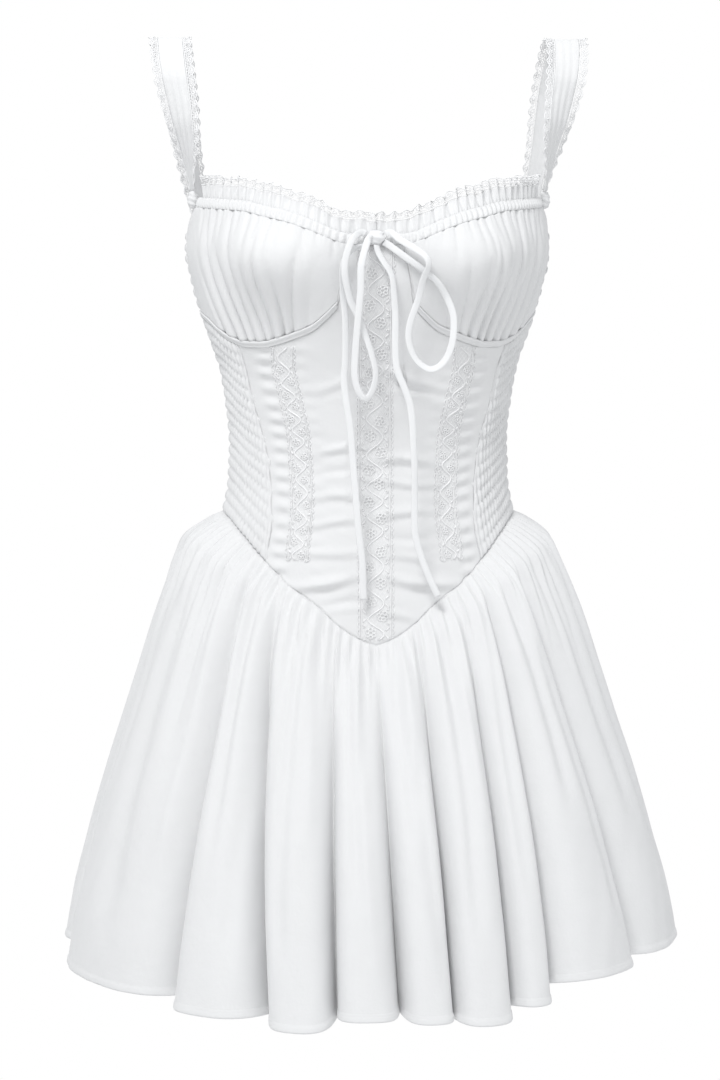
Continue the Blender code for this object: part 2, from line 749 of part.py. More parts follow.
def add_tie(name, route, leave, come_back=None):
    """Length of the tie along its route, from the knot and perhaps back to it."""
    places = [knot_exit(leave, TIE_SEAT), knot_exit(leave, TIE_LEAD)]
    for x, z, under in route:
        out = front_cover(x, z) + LAY_GAP + LACE + 0.9 + TIE_RADIUS + under * (2 * TIE_RADIUS + 0.4)
        places.append((x, -out, z))
    if come_back:
        places += [knot_exit(come_back, TIE_LEAD), knot_exit(come_back, TIE_SEAT)]
    path = smooth_path(places, TIE_STEP)
    curve = bpy.data.curves.new(name, "CURVE")
    curve.dimensions = "3D"
    curve.bevel_depth = TIE_RADIUS * MM
    curve.bevel_resolution = 2
    curve.use_fill_caps = True
    spline = curve.splines.new("POLY")
    spline.points.add(len(path) - 1)
    for point, place in zip(spline.points, path):
        point.co = (*(Vector(place) * MM), 1)
    curve.materials.append(material("tie"))
    made = bpy.data.objects.new(name, curve)
    dress.objects.link(made)


def add_bow():
    """Knot of the tie with its two loops and two tails."""
    add_knot("bow_knot", bow_knot_centre(), BOW_KNOT_SIZE, "tie")
    add_tie("tie_tail_right", TAIL_RIGHT, TAIL_RIGHT_EXIT)
    add_tie("bow_loop_right", LOOP_RIGHT, LOOP_RIGHT_EXIT, LOOP_RIGHT_RETURN)
    add_tie("bow_loop_left", LOOP_LEFT, LOOP_LEFT_EXIT, LOOP_LEFT_RETURN)
    add_tie("tie_tail_left", TAIL_LEFT, TAIL_LEFT_EXIT)


for old in list(bpy.data.objects):
    bpy.data.objects.remove(old)
dress = bpy.data.collections.new("corset_dress")
bpy.context.scene.collection.children.link(dress)

add_front_panel()
for wearer_side in (1, -1):
    add_cup(wearer_side)
    add_neck(wearer_side)
    add_strap(wearer_side)
add_shirred_panels()
add_skirt("skirt_front", FRONT_FOLDS, -90)
add_skirt("skirt_back", BACK_FOLDS, 90)
add_bow()
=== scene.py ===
"""Looks of the corset dress: fine cloth on the solids' form, lace, ties, materials and light.

Sizes are in millimetres and degrees, as in the part's own source, and become metres when a mesh
is made. A place on the bodice is an angle round the body, 0 at centre front and 90 at the
wearer's left side (+X), and a height. All shapes are worked out on whole arrays of points.
"""
import math

import bpy
import numpy as np
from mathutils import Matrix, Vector


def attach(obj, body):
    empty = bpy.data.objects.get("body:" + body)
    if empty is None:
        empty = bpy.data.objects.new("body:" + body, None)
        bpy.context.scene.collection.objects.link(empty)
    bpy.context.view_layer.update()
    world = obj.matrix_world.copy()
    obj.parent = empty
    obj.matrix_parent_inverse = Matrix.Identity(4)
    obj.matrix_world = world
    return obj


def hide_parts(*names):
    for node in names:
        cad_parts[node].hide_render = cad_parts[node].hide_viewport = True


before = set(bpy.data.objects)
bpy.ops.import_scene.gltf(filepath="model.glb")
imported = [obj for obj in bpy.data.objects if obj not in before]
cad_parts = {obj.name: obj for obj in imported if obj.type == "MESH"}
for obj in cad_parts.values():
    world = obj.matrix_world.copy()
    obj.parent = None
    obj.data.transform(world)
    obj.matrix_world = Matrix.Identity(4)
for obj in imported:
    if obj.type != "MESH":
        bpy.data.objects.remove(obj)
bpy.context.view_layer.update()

MM = 0.001
SEAM_GAP = 0.3
LAY_GAP = 0.8

# Thickness of the cloth of each kind of piece
COTTON_THICKNESS = 0.6
RUFFLE_THICKNESS = 0.5
SKIRT_THICKNESS = 0.5
BAND_THICKNESS = 1.0
STRAP_THICKNESS = 0.7

# The photograph: its size, the camera's place, and how much of the world one pixel shows
PHOTO_WIDTH = 720
PHOTO_HEIGHT = 1080
PIXEL = 0.8
HORIZON_PIXEL = 250
MIDDLE_PIXEL = 368
CAMERA_DISTANCE = 2300
CAMERA_AZIMUTH = -3.5
CAMERA_HEIGHT = -164
SENSOR = 24

# The studio, in metres: each light's name, place, side and power, then the floor and the sky
LIGHTS = (
    ("key", (-0.7, -1.6, 1.7), 0.8, 36),
    ("fill", (2.0, -2.2, 0.3), 2.0, 6),
    ("back", (0.4, 2.4, 1.2), 2.0, 14),
)
LIGHT_AIM = (0, 0, -0.4)
FLOOR_LEVEL = -1.35
FLOOR_REACH = 1.7
SKY_COLOUR = (0.97, 0.985, 1.0, 1)
SKY_STRENGTH = 0.72

# The body and the seams, as the solids have them. A row of the body has its height, half width,
# depth in front and depth behind.
BODY = (
    (-470, 137, 104, 104),
    (-433, 130, 99, 98),
    (-400, 122, 94, 92),
    (-372, 115, 89, 86),
    (-345, 110, 85, 80),
    (-316, 109, 83, 78),
    (-284, 112, 85, 80),
    (-260, 116, 88, 83),
    (-233, 125, 94, 87),
    (-200, 136, 99, 91),
    (-164, 143, 102, 93),
    (-142, 141, 98, 91),
    (-112, 136, 90, 86),
)
CUP_ANGLE = 30
CUP_HEIGHT = -172
CUP_REACH_ROUND = 19
CUP_REACH_UP = 36
CUP_SWELL = 26
NECK_LINE = ((0, -154), (9.5, -152), (15, -147), (19.5, -142), (28, -135), (36, -131), (44, -127.5),
             (55, -126), (76, -124))
ARMHOLE = ((76, -132), (82, -138), (90, -150))
UNDERBUST = ((12, -203), (16, -212), (22, -222), (28, -227), (36, -232), (44, -235), (52, -235),
             (60, -232), (69, -225), (76, -218), (90, -212))
WAIST = ((0, -467), (4.6, -463), (12.5, -452), (19, -439), (30.6, -423), (46, -401), (60, -385),
         (75, -375), (90, -372), (180, -378))
GORE_FOOT_ANGLE = 12
GORE_HEAD_ANGLE = 7.7
FRONT_SEAM = ((-402, 43.2), (-385, 42.7), (-360, 44.9), (-330, 48), (-300, 52.9), (-275, 56.7),
              (-240, 58.1))
BAND_HEIGHT = 5
CASING_HEIGHT = 8
RUFFLE_CLOTH = 10
RUFFLE_LACE = 7.5
RUFFLE_END_ANGLE = 72
CASING_END_ANGLE = 75
BACK_TOP = -150
FLANK_LACE = ((-395, 59.5), (-358, 55.5), (-335, 56.5), (-310, 58), (-285, 63), (-255, 70))
FLANK_LACE_WIDTH = 18.5
CENTRE_LACE_WIDTH = 28

# Creases pulled across the front panel: distance to the left, height, half length, half width,
# height of the ridge, rise towards the left
CREASES = (
    (24, -262, 22, 3.5, 1.6, -0.28),
    (30, -272, 18, 3.0, -1.0, -0.25),
    (-30, -268, 16, 3.5, 0.8, 0.20),
    (-26, -318, 20, 3.0, 1.3, 0.06),
    (24, -327, 24, 3.5, 1.6, -0.12),
    (-22, -336, 26, 3.0, -0.9, 0.05),
    (26, -343, 22, 2.8, 1.1, -0.08),
    (-24, -354, 24, 3.2, 1.3, 0.08),
    (22, -366, 26, 3.2, 1.2, -0.03),
    (-28, -374, 22, 3.0, 1.2, 0.05),
    (30, -386, 22, 3.0, -0.9, -0.10),
    (-30, -396, 24, 3.2, 1.0, 0.10),
    (28, -402, 20, 3.0, 1.0, -0.12),
    (-38, -419, 24, 3.8, 2.2, 0.12),
    (36, -419, 26, 3.8, 2.2, -0.12),
    (-24, -436, 16, 3.0, -1.2, 0.20),
    (18, -446, 14, 3.0, 1.0, -0.25),
)
CREASE_GAIN = 1.7
PUCKER_HEIGHT = 1.3

# Folds of a cup, rising from the band under it: angle at the foot and at the head, share of the
# height where each fades, depth
CUP_FOLDS = (
    (24, 14, 0.55, 1.6),
    (30, 22, 0.95, 3.2),
    (34, 30, 0.70, 4.8),
    (39, 36, 1.05, 3.8),
    (42.5, 44, 0.75, 5.4),
    (48, 50, 1.05, 3.6),
    (52, 58, 0.80, 5.2),
    (58, 67, 1.05, 3.8),
    (65.5, 78, 0.75, 2.4),
)
# Folds of a cup that hang from its casing: angle, share of the height that each reaches down,
# half width in degrees, depth
CUP_TUCKS = (
    (14, 0.35, 0.9, 1.2), (18.5, 0.20, 0.8, 0.9), (22, 0.50, 1.0, 1.6), (26.5, 0.25, 0.8, 1.0),
    (30, 0.40, 1.0, 1.5), (33.5, 0.60, 1.0, 1.8), (38.5, 0.28, 0.8, 1.0), (42, 0.45, 1.0, 1.6),
    (46.5, 0.22, 0.8, 1.1), (50, 0.55, 1.1, 1.8), (55.5, 0.30, 0.9, 1.2), (60, 0.45, 1.1, 1.5),
    (65, 0.25, 0.9, 1.0), (70, 0.40, 1.1, 1.3),
)
CUP_FOLD_GAIN = 1.5
SHIRR_PITCH = 9
SHIRR_PUFF = 1.0
SHIRR_RIDGE_PITCH = 4.4
SHIRR_RIDGE = 1.15

# Skirt folds: first valley's angle at waist and hem, depth, lean, height of the hem
FRONT_FOLDS = (
    (-90, -90, 46, 0.03, -724),
    (-44, -43, 44, -0.03, -729),
    (-34, -23, 42, 0.03, -735),
    (-13, -9.5, 40, -0.02, -726),
    (0, 3, 38, 0.03, -729),
    (13, 13, 40, -0.03, -733),
    (28, 25, 32, 0.00, -724),
    (38, 33, 44, 0.03, -710),
    (53, 57, 46, -0.03, -708),
)
BACK_FOLDS = (
    (90, 90, 44, 0.02, -710),
    (107, 105, 40, -0.03, -714),
    (126, 122, 44, 0.03, -717),
    (142, 140, 38, 0.00, -715),
    (161, 158, 44, -0.02, -720),
    (177, 176, 40, 0.03, -718),
    (195, 193, 42, 0.00, -722),
    (211, 210, 38, -0.03, -719),
    (230, 228, 44, 0.02, -724),
    (250, 249, 42, 0.00, -721),
)
HEM_HALF_WIDTH = 229
HEM_FRONT = 222
HEM_BACK = 212
FRONT_COLUMNS = 400
BACK_COLUMNS = 380
SKIRT_ROWS = 92
VALLEY_SHARE = 0.55
FOLD_BLUNTNESS = 2.6
FOLD_SQUEEZE = 0.09
SIDE_SPREAD = ((0, 0), (0.056, 0.24), (0.09, 0.29), (0.156, 0.37), (0.222, 0.44), (0.356, 0.55),
               (0.49, 0.66), (0.62, 0.77), (0.756, 0.87), (0.89, 0.96), (1, 1))
FRONT_SPREAD = ((0, 0), (0.06, 0.13), (0.16, 0.27), (0.35, 0.47), (0.6, 0.72), (1, 1))

# Soft creases inside the big folds: angle at the waist and at the hem, share of the drop where
# each starts and ends, half width in degrees, depth
SKIRT_CREASES = (
    (-76, -74, 0.05, 0.62, 2.6, -4.0), (-66, -61, 0.10, 0.95, 3.4, -5.0), (-57, -54, 0.02, 0.55, 2.2, -3.5),
    (-50, -49, 0.05, 0.80, 2.0, 3.0), (-39, -36, 0.02, 0.70, 1.5, -3.5), (-29, -31, 0.20, 0.97, 1.8, -3.0),
    (-24, -18, 0.02, 0.90, 1.4, -4.0), (-19, -14, 0.10, 0.60, 1.2, 2.5), (-8, -5, 0.02, 0.75, 1.2, -3.0),
    (-4, -2, 0.30, 0.95, 1.2, 2.0), (5, 7, 0.03, 0.60, 1.2, -3.0), (9, 10, 0.25, 0.98, 1.2, -2.5),
    (19, 18, 0.02, 0.85, 1.5, -4.0), (23, 22, 0.10, 0.55, 1.3, 2.5), (33, 29, 0.02, 0.80, 1.3, -3.0),
    (44, 43, 0.03, 0.65, 1.8, -4.0), (48, 50, 0.15, 0.97, 1.8, -3.5), (62, 67, 0.02, 0.75, 2.4, -4.5),
    (71, 77, 0.10, 0.96, 2.6, -4.0), (81, 84, 0.03, 0.50, 2.0, -3.0),
    (98, 97, 0.02, 0.80, 2.0, -4.0), (115, 113, 0.05, 0.95, 2.2, -4.0), (121, 118, 0.02, 0.50, 1.8, -3.0),
    (134, 131, 0.03, 0.85, 2.0, -4.5), (151, 149, 0.02, 0.70, 2.0, -3.5), (156, 154, 0.15, 0.97, 1.8, -2.5),
    (169, 167, 0.02, 0.90, 2.0, -4.0), (186, 185, 0.04, 0.75, 2.0, -3.5), (203, 201, 0.02, 0.95, 2.0, -4.5),
    (220, 218, 0.03, 0.60, 2.0, -3.0), (226, 224, 0.10, 0.95, 1.8, -2.5), (240, 238, 0.02, 0.85, 2.2, -4.5),
    (259, 258, 0.03, 0.70, 2.0, -3.5), (264, 265, 0.10, 0.95, 2.0, -3.0),
)

# A strap's line from the front to the back: place, turn of its width, half width of the cloth and
# of the cloth with its lace
STRAP = (
    (138.5, -16, -118.4, 76, 4.0, 7.0),
    (140.5, -22, -105, 70, 6.5, 12.0),
    (143, -31, -86, 56, 9.0, 16.0),
    (147, -38, -62, 36, 9.5, 17.0),
    (151.5, -37, -36, 16, 9.5, 17.0),
    (154.5, -26, -13, 5, 9.5, 17.0),
    (155.5, -9, -0.5, 0, 9.5, 17.0),
    (155.5, 8, 0.5, 0, 9.5, 17.0),
    (153.5, 25, -13, -6, 9.5, 17.0),
    (149, 36, -41, -22, 9.5, 17.0),
    (143.5, 40, -78, -42, 9.5, 17.0),
    (136.5, 41, -116, -57, 9.5, 17.0),
    (129, 42.5, -149.4, -65, 9.5, 17.0),
)
KNOT_SIZE = (5.0, 5.6, 7.0)
KNOT_PLACE = (138, -16, -126)

# Threads of lace: how far out each lies, its radius and its number of sides
NET_THREAD = (0.05, 0.22, 4)
VINE_THREAD = (0.35, 0.6, 6)
FLOWER_THREAD = (0.4, 0.5, 5)
STRIP_EDGE_THREAD = (0.4, 0.42, 5)
FOOT_CORD = (0.2, 0.42, 5)
EDGE_CORD = (0.2, 0.5, 5)
FINE_CORD = (0.2, 0.26, 4)
FRILL_NET = (0.1, 0.2, 4)
FRILL_RING = (0.3, 0.42, 5)
FRILL_STEM = (0.25, 0.3, 4)
STRAP_LACE = 7.2

# The tie lies out from the cloth by its layers. A place on a route has the distance to the left,
# the height and the number of layers under it.
TIE_RADIUS = 1.9
TIE_LAYER_GAP = 0.4
TIE_SIDES = 12
TIE_TURN = 0.55
TIE_WIDTH = 5.4
TIE_THICKNESS = 1.5
TIE_SEAT = 0.35
TIE_LEAD = 5
BOW_KNOT_SIZE = (7.6, 4.4, 5.2)
BOW_KNOT_PLACE = (-1, -155.5)
CASING_PUCKER = 1.0
CUP_PUCKER = 1.2
HANG_DROP = (156, 431)
HANG_REACH = (106.5, 103.5)
TAIL_RIGHT_EXIT = (-0.8, 0, -0.6)
LOOP_RIGHT_EXIT = (-0.95, -0.15, 0.28)
LOOP_RIGHT_RETURN = (-0.62, -0.75, -0.22)
LOOP_LEFT_EXIT = (0.95, -0.15, 0.28)
LOOP_LEFT_RETURN = (0.86, 0, -0.5)
TAIL_LEFT_EXIT = (0.15, -0.1, -0.98)
TAIL_RIGHT = ((-19, -165, 0), (-26, -176, 0), (-26, -197, 0), (-24, -217, 0),
              (-24, -249, 0), (-25, -263, 0), (-23, -281, 0), (-20, -301, 0), (-18, -328, 0),
              (-16, -352, 0), (-14, -376, 0), (-11, -402, 0), (-10, -431, 0))
LOOP_RIGHT = ((-20, -159, 1.2), (-25, -178, 1.3), (-21, -201, 1.1), (-15, -214, 0.8),
              (-9, -229, 0.5), (-4, -244, 0.4), (-1, -259, 0.4), (-4, -272, 0.5), (-9, -277, 0.7),
              (-14, -272, 0.9), (-17, -261, 1.1), (-17, -245, 1.4), (-15, -218, 2.1), (-13, -195, 2.4),
              (-12.5, -176, 2.4))
LOOP_LEFT = ((18, -158, 1.1), (28, -164, 1.1), (36, -170, 1.2), (38, -177, 1.2),
             (34, -188, 1.2), (31, -202, 1.0), (25, -220, 0.6), (24, -233, 0.5), (28, -245, 0.5),
             (34, -252, 0.5), (42, -255, 0.5), (51, -249, 0.4), (57, -235, 0.3), (58, -216, 0.1),
             (53, -201, 0), (45, -189, 0), (33, -179, 0), (22, -171, 0))
TAIL_LEFT = ((5, -174, 0), (11, -184, 0), (13, -199, 0), (14, -217, 0),
             (14, -239, 0), (15, -254, 0), (20, -267, 0), (25, -281, 0), (27, -296, 0),
             (28, -313, 0), (29, -336, 0), (29, -373, 0), (31, -388, 0), (38, -409, 0),
             (47, -429, 0))


# Numbers and curves

def curve(table, x, column=1):
    """Values of a table's column at x, on a smooth curve that never swings past its rows."""
    keys = np.array([row[0] for row in table], dtype=float)
    values = np.array([row[column] for row in table], dtype=float)
    spans = np.diff(keys)
    slopes = np.diff(values) / spans
    tangents = np.empty(len(keys))
    tangents[0] = slopes[0]
    tangents[-1] = slopes[-1]
    product = slopes[:-1] * slopes[1:]
    total = slopes[:-1] + slopes[1:]
    tangents[1:-1] = np.where(product > 0, 2 * product / np.where(total == 0, 1, total), 0.0)
    x = np.clip(np.asarray(x, dtype=float), keys[0], keys[-1])
    i = np.clip(np.searchsorted(keys, x) - 1, 0, len(spans) - 1)
    t = (x - keys[i]) / spans[i]
    rise = values[i] * (1 + 2 * t) * (1 - t) ** 2 + values[i + 1] * t * t * (3 - 2 * t)
    return rise + spans[i] * (tangents[i] * t * (1 - t) ** 2 - tangents[i + 1] * t * t * (1 - t))


def mix(a, b, t):
    """Value that lies the share t of the way from a to b."""
    return a + (b - a) * t


def smooth_step(low, high, x):
    """Soft rise from 0 at low to 1 at high."""
    t = np.clip((x - low) / (high - low), 0.0, 1.0)
    return t * t * (3 - 2 * t)


def wander(x, seed):
    """Smooth uneven wave between about -1 and 1, the same each time for a seed."""
    return (np.sin(x + 1.7 * seed) + 0.6 * np.sin(2.31 * x + 4.1 * seed)
            + 0.4 * np.sin(3.93 * x + 2.3 * seed)) / 1.6


def smooth_path(points, step):
    """Points about one step apart on a smooth curve through the given points."""
    points = [np.array(point, dtype=float) for point in points]
    ends = [2 * points[0] - points[1]] + points + [2 * points[-1] - points[-2]]
    path = []
    for k in range(1, len(ends) - 2):
        before, start, stop, after = ends[k - 1:k + 3]
        pieces = max(1, round(np.linalg.norm(stop - start) / step))
        for piece in range(pieces):
            t = piece / pieces
            path.append(0.5 * (2 * start + (stop - before) * t
                               + (2 * before - 5 * start + 4 * stop - after) * t * t
                               + (3 * start - before - 3 * stop + after) * t ** 3))
    path.append(points[-1])
    return np.array(path)


# The body

def body_point(angle, z, relief=0.0):
    """Points on the outer face of the bodice, raised by relief along the section's normal."""
    angle, z, relief = np.broadcast_arrays(*[np.asarray(v, dtype=float) for v in (angle, z, relief)])
    half_width = curve(BODY, z, 1)
    turn = np.radians(angle)
    depth = np.where(np.cos(turn) > 0, curve(BODY, z, 2), curve(BODY, z, 3))
    normal = np.stack((np.sin(turn) / half_width, -np.cos(turn) / depth, np.zeros_like(turn)), axis=-1)
    normal /= np.linalg.norm(normal, axis=-1, keepdims=True)
    place = np.stack((half_width * np.sin(turn), -depth * np.cos(turn), z), axis=-1)
    around = (np.abs(angle) - CUP_ANGLE) / CUP_REACH_ROUND
    up = (z - CUP_HEIGHT) / CUP_REACH_UP
    swell = np.where(np.abs(angle) < 90, CUP_SWELL * np.exp(-around * around - up * up), 0.0)
    return place + normal * (swell + relief)[..., None]


def arc_place(angle, z):
    """Distance round the body from centre front, near enough for patterns."""
    return np.radians(angle) * curve(BODY, z, 1) * 0.93


def angle_of(x, z):
    """Angle round the body of a point of the front at distance x from the middle."""
    return np.degrees(np.arcsin(np.asarray(x) / curve(BODY, z, 1)))


def gap_angle(gap, z):
    """Angle that a gap takes up round the body."""
    return np.degrees(gap / curve(BODY, z, 1))


def grid_normals(points):
    """Outward unit normals at the points of a grid."""
    normals = np.cross(np.gradient(points, axis=1), np.gradient(points, axis=0))
    return normals / np.linalg.norm(normals, axis=2, keepdims=True)


# Meshes

def grid_mesh(name, points):
    """Mesh of quads on a grid of points, with its lengths along the cloth as texture places."""
    rows, columns = points.shape[:2]
    corner = (np.arange(rows - 1)[:, None] * columns + np.arange(columns - 1)[None, :]).ravel()
    quads = np.stack((corner, corner + 1, corner + columns + 1, corner + columns), axis=1)
    mesh = bpy.data.meshes.new(name)
    mesh.vertices.add(rows * columns)
    mesh.vertices.foreach_set("co", (points * MM).ravel())
    mesh.loops.add(quads.size)
    mesh.loops.foreach_set("vertex_index", quads.ravel())
    mesh.polygons.add(len(quads))
    mesh.polygons.foreach_set("loop_start", np.arange(len(quads)) * 4)
    mesh.update(calc_edges=True)
    across = np.linalg.norm(np.diff(points, axis=1), axis=2).mean(axis=0)
    along = np.linalg.norm(np.diff(points, axis=0), axis=2).mean(axis=1)
    u = np.concatenate(([0], np.cumsum(across))) * MM
    v = np.concatenate(([0], np.cumsum(along))) * MM
    places = np.stack(np.broadcast_arrays(u[None, :], v[:, None]), axis=-1).reshape(-1, 2)
    layer = mesh.uv_layers.new(name="cloth")
    layer.uv.foreach_set("vector", places[quads.ravel()].ravel())
    mesh.shade_smooth()
    return mesh


def sided(points, side):
    """Grid of one side of the body, with its columns turned round on the wearer's right."""
    return points[:, ::-1] if side < 0 else points


def tucked(points, edge, reach, sink):
    """Grid with its foot, head, start or end carried on under the next piece."""
    if edge in ("start", "end"):
        turned = tucked(points.transpose(1, 0, 2), "foot" if edge == "start" else "head", reach, -sink)
        return turned.transpose(1, 0, 2)
    rows = points if edge == "foot" else points[::-1]
    normals = np.cross(np.gradient(points, axis=1), np.gradient(points, axis=0))
    normals = (normals if edge == "foot" else normals[::-1])[0]
    normals /= np.linalg.norm(normals, axis=1, keepdims=True)
    away = rows[0] - rows[1]
    away /= np.linalg.norm(away, axis=1, keepdims=True)
    near = rows[0] + away * reach * 0.3 - normals * sink
    far = rows[0] + away * reach - normals * sink
    grown = np.concatenate((far[None], near[None], rows))
    return grown if edge == "foot" else grown[::-1]


def add_piece(name, mesh, look, nodes):
    """Piece of the dress that takes the place of its solids."""
    mesh.materials.append(look)
    piece = bpy.data.objects.new(name, mesh)
    bpy.context.scene.collection.objects.link(piece)
    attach(piece, "root")
    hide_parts(*nodes)
    return piece


def add_shell(name, points, thickness, node):
    """Thin shell of cotton grown inwards from a grid of points."""
    piece = add_piece(name, grid_mesh(name, points), cotton, [node])
    solid = piece.modifiers.new("cloth", "SOLIDIFY")
    solid.thickness = thickness * MM
    solid.offset = -1
    return piece


def tube_parts(path, radius, sides, flat=1.0, width_way=None):
    """Vertices and quads of a tube along a path; flat squeezes it across its width."""
    tangents = np.gradient(path, axis=0)
    tangents /= np.linalg.norm(tangents, axis=1, keepdims=True)
    if width_way is None:
        helper = np.where(np.abs(tangents[:, 1:2]) < 0.9, np.array([[0.0, 1.0, 0.0]]),
                          np.array([[1.0, 0.0, 0.0]]))
        width_way = np.cross(tangents, helper)
    width_way = width_way - tangents * np.sum(width_way * tangents, axis=1, keepdims=True)
    width_way /= np.linalg.norm(width_way, axis=1, keepdims=True)
    face_way = np.cross(tangents, width_way)
    turn = np.arange(sides) * 2 * np.pi / sides + np.pi / sides
    ring = (width_way[:, None, :] * np.cos(turn)[None, :, None]
            + face_way[:, None, :] * flat * np.sin(turn)[None, :, None])
    points = path[:, None, :] + radius * ring
    count = len(path)
    i = np.arange(count - 1)[:, None] * sides
    j = np.arange(sides)[None, :]
    k = (j + 1) % sides
    quads = np.stack(np.broadcast_arrays(i + j, i + k, i + sides + k, i + sides + j), axis=-1)
    return points.reshape(-1, 3), quads.reshape(-1, 4)


def threads_mesh(name, threads):
    """One mesh of many threads, each a path and a radius and a number of sides."""
    vertices = []
    faces = []
    start = 0
    for path, radius, sides in threads:
        points, quads = tube_parts(np.asarray(path, dtype=float), radius, sides)
        vertices.append(points)
        faces.append(quads + start)
        caps = [list(range(start + sides - 1, start - 1, -1)),
                list(range(start + len(points) - sides, start + len(points)))]
        faces.append(caps)
        start += len(points)
    mesh = bpy.data.meshes.new(name)
    polygons = [list(map(int, face)) for group in faces for face in group]
    mesh.from_pydata([tuple(point) for point in np.concatenate(vertices) * MM], [], polygons)
    mesh.shade_smooth()
    return mesh


# Materials

def principled(name, colour, roughness):
    """Material with its shader and the node tree's helpers."""
    made = bpy.data.materials.new(name)
    made.use_nodes = True
    tree = made.node_tree
    shader = tree.nodes["Principled BSDF"]
    shader.inputs["Base Color"].default_value = (*colour, 1)
    shader.inputs["Roughness"].default_value = roughness
    shader.inputs["Specular IOR Level"].default_value = 0.25
    return made, tree, shader


def add_noise(tree, scale, detail):
    """Noise in the object's own space."""
    spot = tree.nodes.new("ShaderNodeTexCoord")
    noise = tree.nodes.new("ShaderNodeTexNoise")
    noise.inputs["Scale"].default_value = scale
    noise.inputs["Detail"].default_value = detail
    tree.links.new(spot.outputs["Object"], noise.inputs["Vector"])
    return noise


def add_bump(tree, height, strength, distance):
    """Bump from a height, of a strength and a depth in metres."""
    bump = tree.nodes.new("ShaderNodeBump")
    bump.inputs["Strength"].default_value = strength
    bump.inputs["Distance"].default_value = distance
    tree.links.new(height, bump.inputs["Height"])
    return bump


def add_mottle(tree, shader, noise, colour, dark):
    """Colour that varies faintly with a noise, down to the share dark."""
    tint = tree.nodes.new("ShaderNodeMix")
    tint.data_type = "RGBA"
    tint.inputs["A"].default_value = (*[c * dark for c in colour], 1)
    tint.inputs["B"].default_value = (*colour, 1)
    tree.links.new(noise.outputs["Fac"], tint.inputs["Factor"])
    tree.links.new(tint.outputs["Result"], shader.inputs["Base Color"])


def weave_look(name, colour, roughness, pitch, weave_strength, crumple_strength):
    """Plain weave: crossing threads as bump, and a soft crumple with faint mottling."""
    made, tree, shader = principled(name, colour, roughness)
    shader.inputs["Sheen Weight"].default_value = 0.15
    shader.inputs["Sheen Roughness"].default_value = 0.5
    places = tree.nodes.new("ShaderNodeUVMap")
    places.uv_map = "cloth"
    crossing = tree.nodes.new("ShaderNodeMath")
    crossing.operation = "ADD"
    for number, direction in enumerate(("X", "Y")):
        wave = tree.nodes.new("ShaderNodeTexWave")
        wave.wave_type = "BANDS"
        wave.bands_direction = direction
        wave.inputs["Scale"].default_value = 0.31 / (pitch * MM)
        wave.inputs["Distortion"].default_value = 0.6
        wave.inputs["Detail"].default_value = 1.0
        tree.links.new(places.outputs["UV"], wave.inputs["Vector"])
        tree.links.new(wave.outputs["Fac"], crossing.inputs[number])
    weave = add_bump(tree, crossing.outputs[0], weave_strength, 0.0002)
    crumple = add_noise(tree, 55, 4)
    crumple.inputs["Roughness"].default_value = 0.55
    soft = add_bump(tree, crumple.outputs["Fac"], crumple_strength, 0.002)
    tree.links.new(weave.outputs["Normal"], soft.inputs["Normal"])
    tree.links.new(soft.outputs["Normal"], shader.inputs["Normal"])
    add_mottle(tree, shader, crumple, colour, 0.97)
    return made


def thread_look(name, colour):
    """Lace thread: a fine grain as bump and mottling."""
    made, tree, shader = principled(name, colour, 0.7)
    shader.inputs["Sheen Weight"].default_value = 0.2
    grain = add_noise(tree, 900, 2)
    bump = add_bump(tree, grain.outputs["Fac"], 0.4, 0.0003)
    tree.links.new(bump.outputs["Normal"], shader.inputs["Normal"])
    add_mottle(tree, shader, grain, colour, 0.94)
    return made


WHITE = (0.80, 0.802, 0.806)
LACE_WHITE = (0.91, 0.91, 0.915)
TIE_WHITE = (0.86, 0.865, 0.872)
cotton = weave_look("cotton_weave", WHITE, 0.85, 0.55, 0.25, 0.35)
tie_cotton = weave_look("tie_weave", TIE_WHITE, 0.8, 0.5, 0.3, 0.2)
lace_thread = thread_look("lace_thread", LACE_WHITE)


# Camera, light and floor

def add_camera():
    """Camera at the photograph's angle, tilted down to the middle of the photograph."""
    turn = math.radians(CAMERA_AZIMUTH)
    place = Vector((CAMERA_DISTANCE * math.sin(turn), -CAMERA_DISTANCE * math.cos(turn),
                    CAMERA_HEIGHT))
    aim = Vector((math.cos(turn), math.sin(turn), 0)) * (PHOTO_WIDTH / 2 - MIDDLE_PIXEL) * PIXEL
    aim.z = CAMERA_HEIGHT - (PHOTO_HEIGHT / 2 - HORIZON_PIXEL) * PIXEL
    view = bpy.data.cameras.new("camera")
    view.sensor_fit = "VERTICAL"
    view.sensor_height = SENSOR
    view.lens = SENSOR * (aim - place).length / (PHOTO_HEIGHT * PIXEL)
    view.clip_end = 50
    camera = bpy.data.objects.new("camera", view)
    camera.location = place * MM
    camera.rotation_euler = (aim - place).to_track_quat("-Z", "Y").to_euler()
    bpy.context.scene.collection.objects.link(camera)
    bpy.context.scene.camera = camera


def add_light(name, place, size, power):
    """Soft square light aimed at the middle of the dress."""
    light = bpy.data.lights.new(name, "AREA")
    light.shape = "SQUARE"
    light.size = size
    light.energy = power
    lamp = bpy.data.objects.new(name, light)
    lamp.location = place
    lamp.rotation_euler = (Vector(LIGHT_AIM) - Vector(place)).to_track_quat("-Z", "Y").to_euler()
    bpy.context.scene.collection.objects.link(lamp)


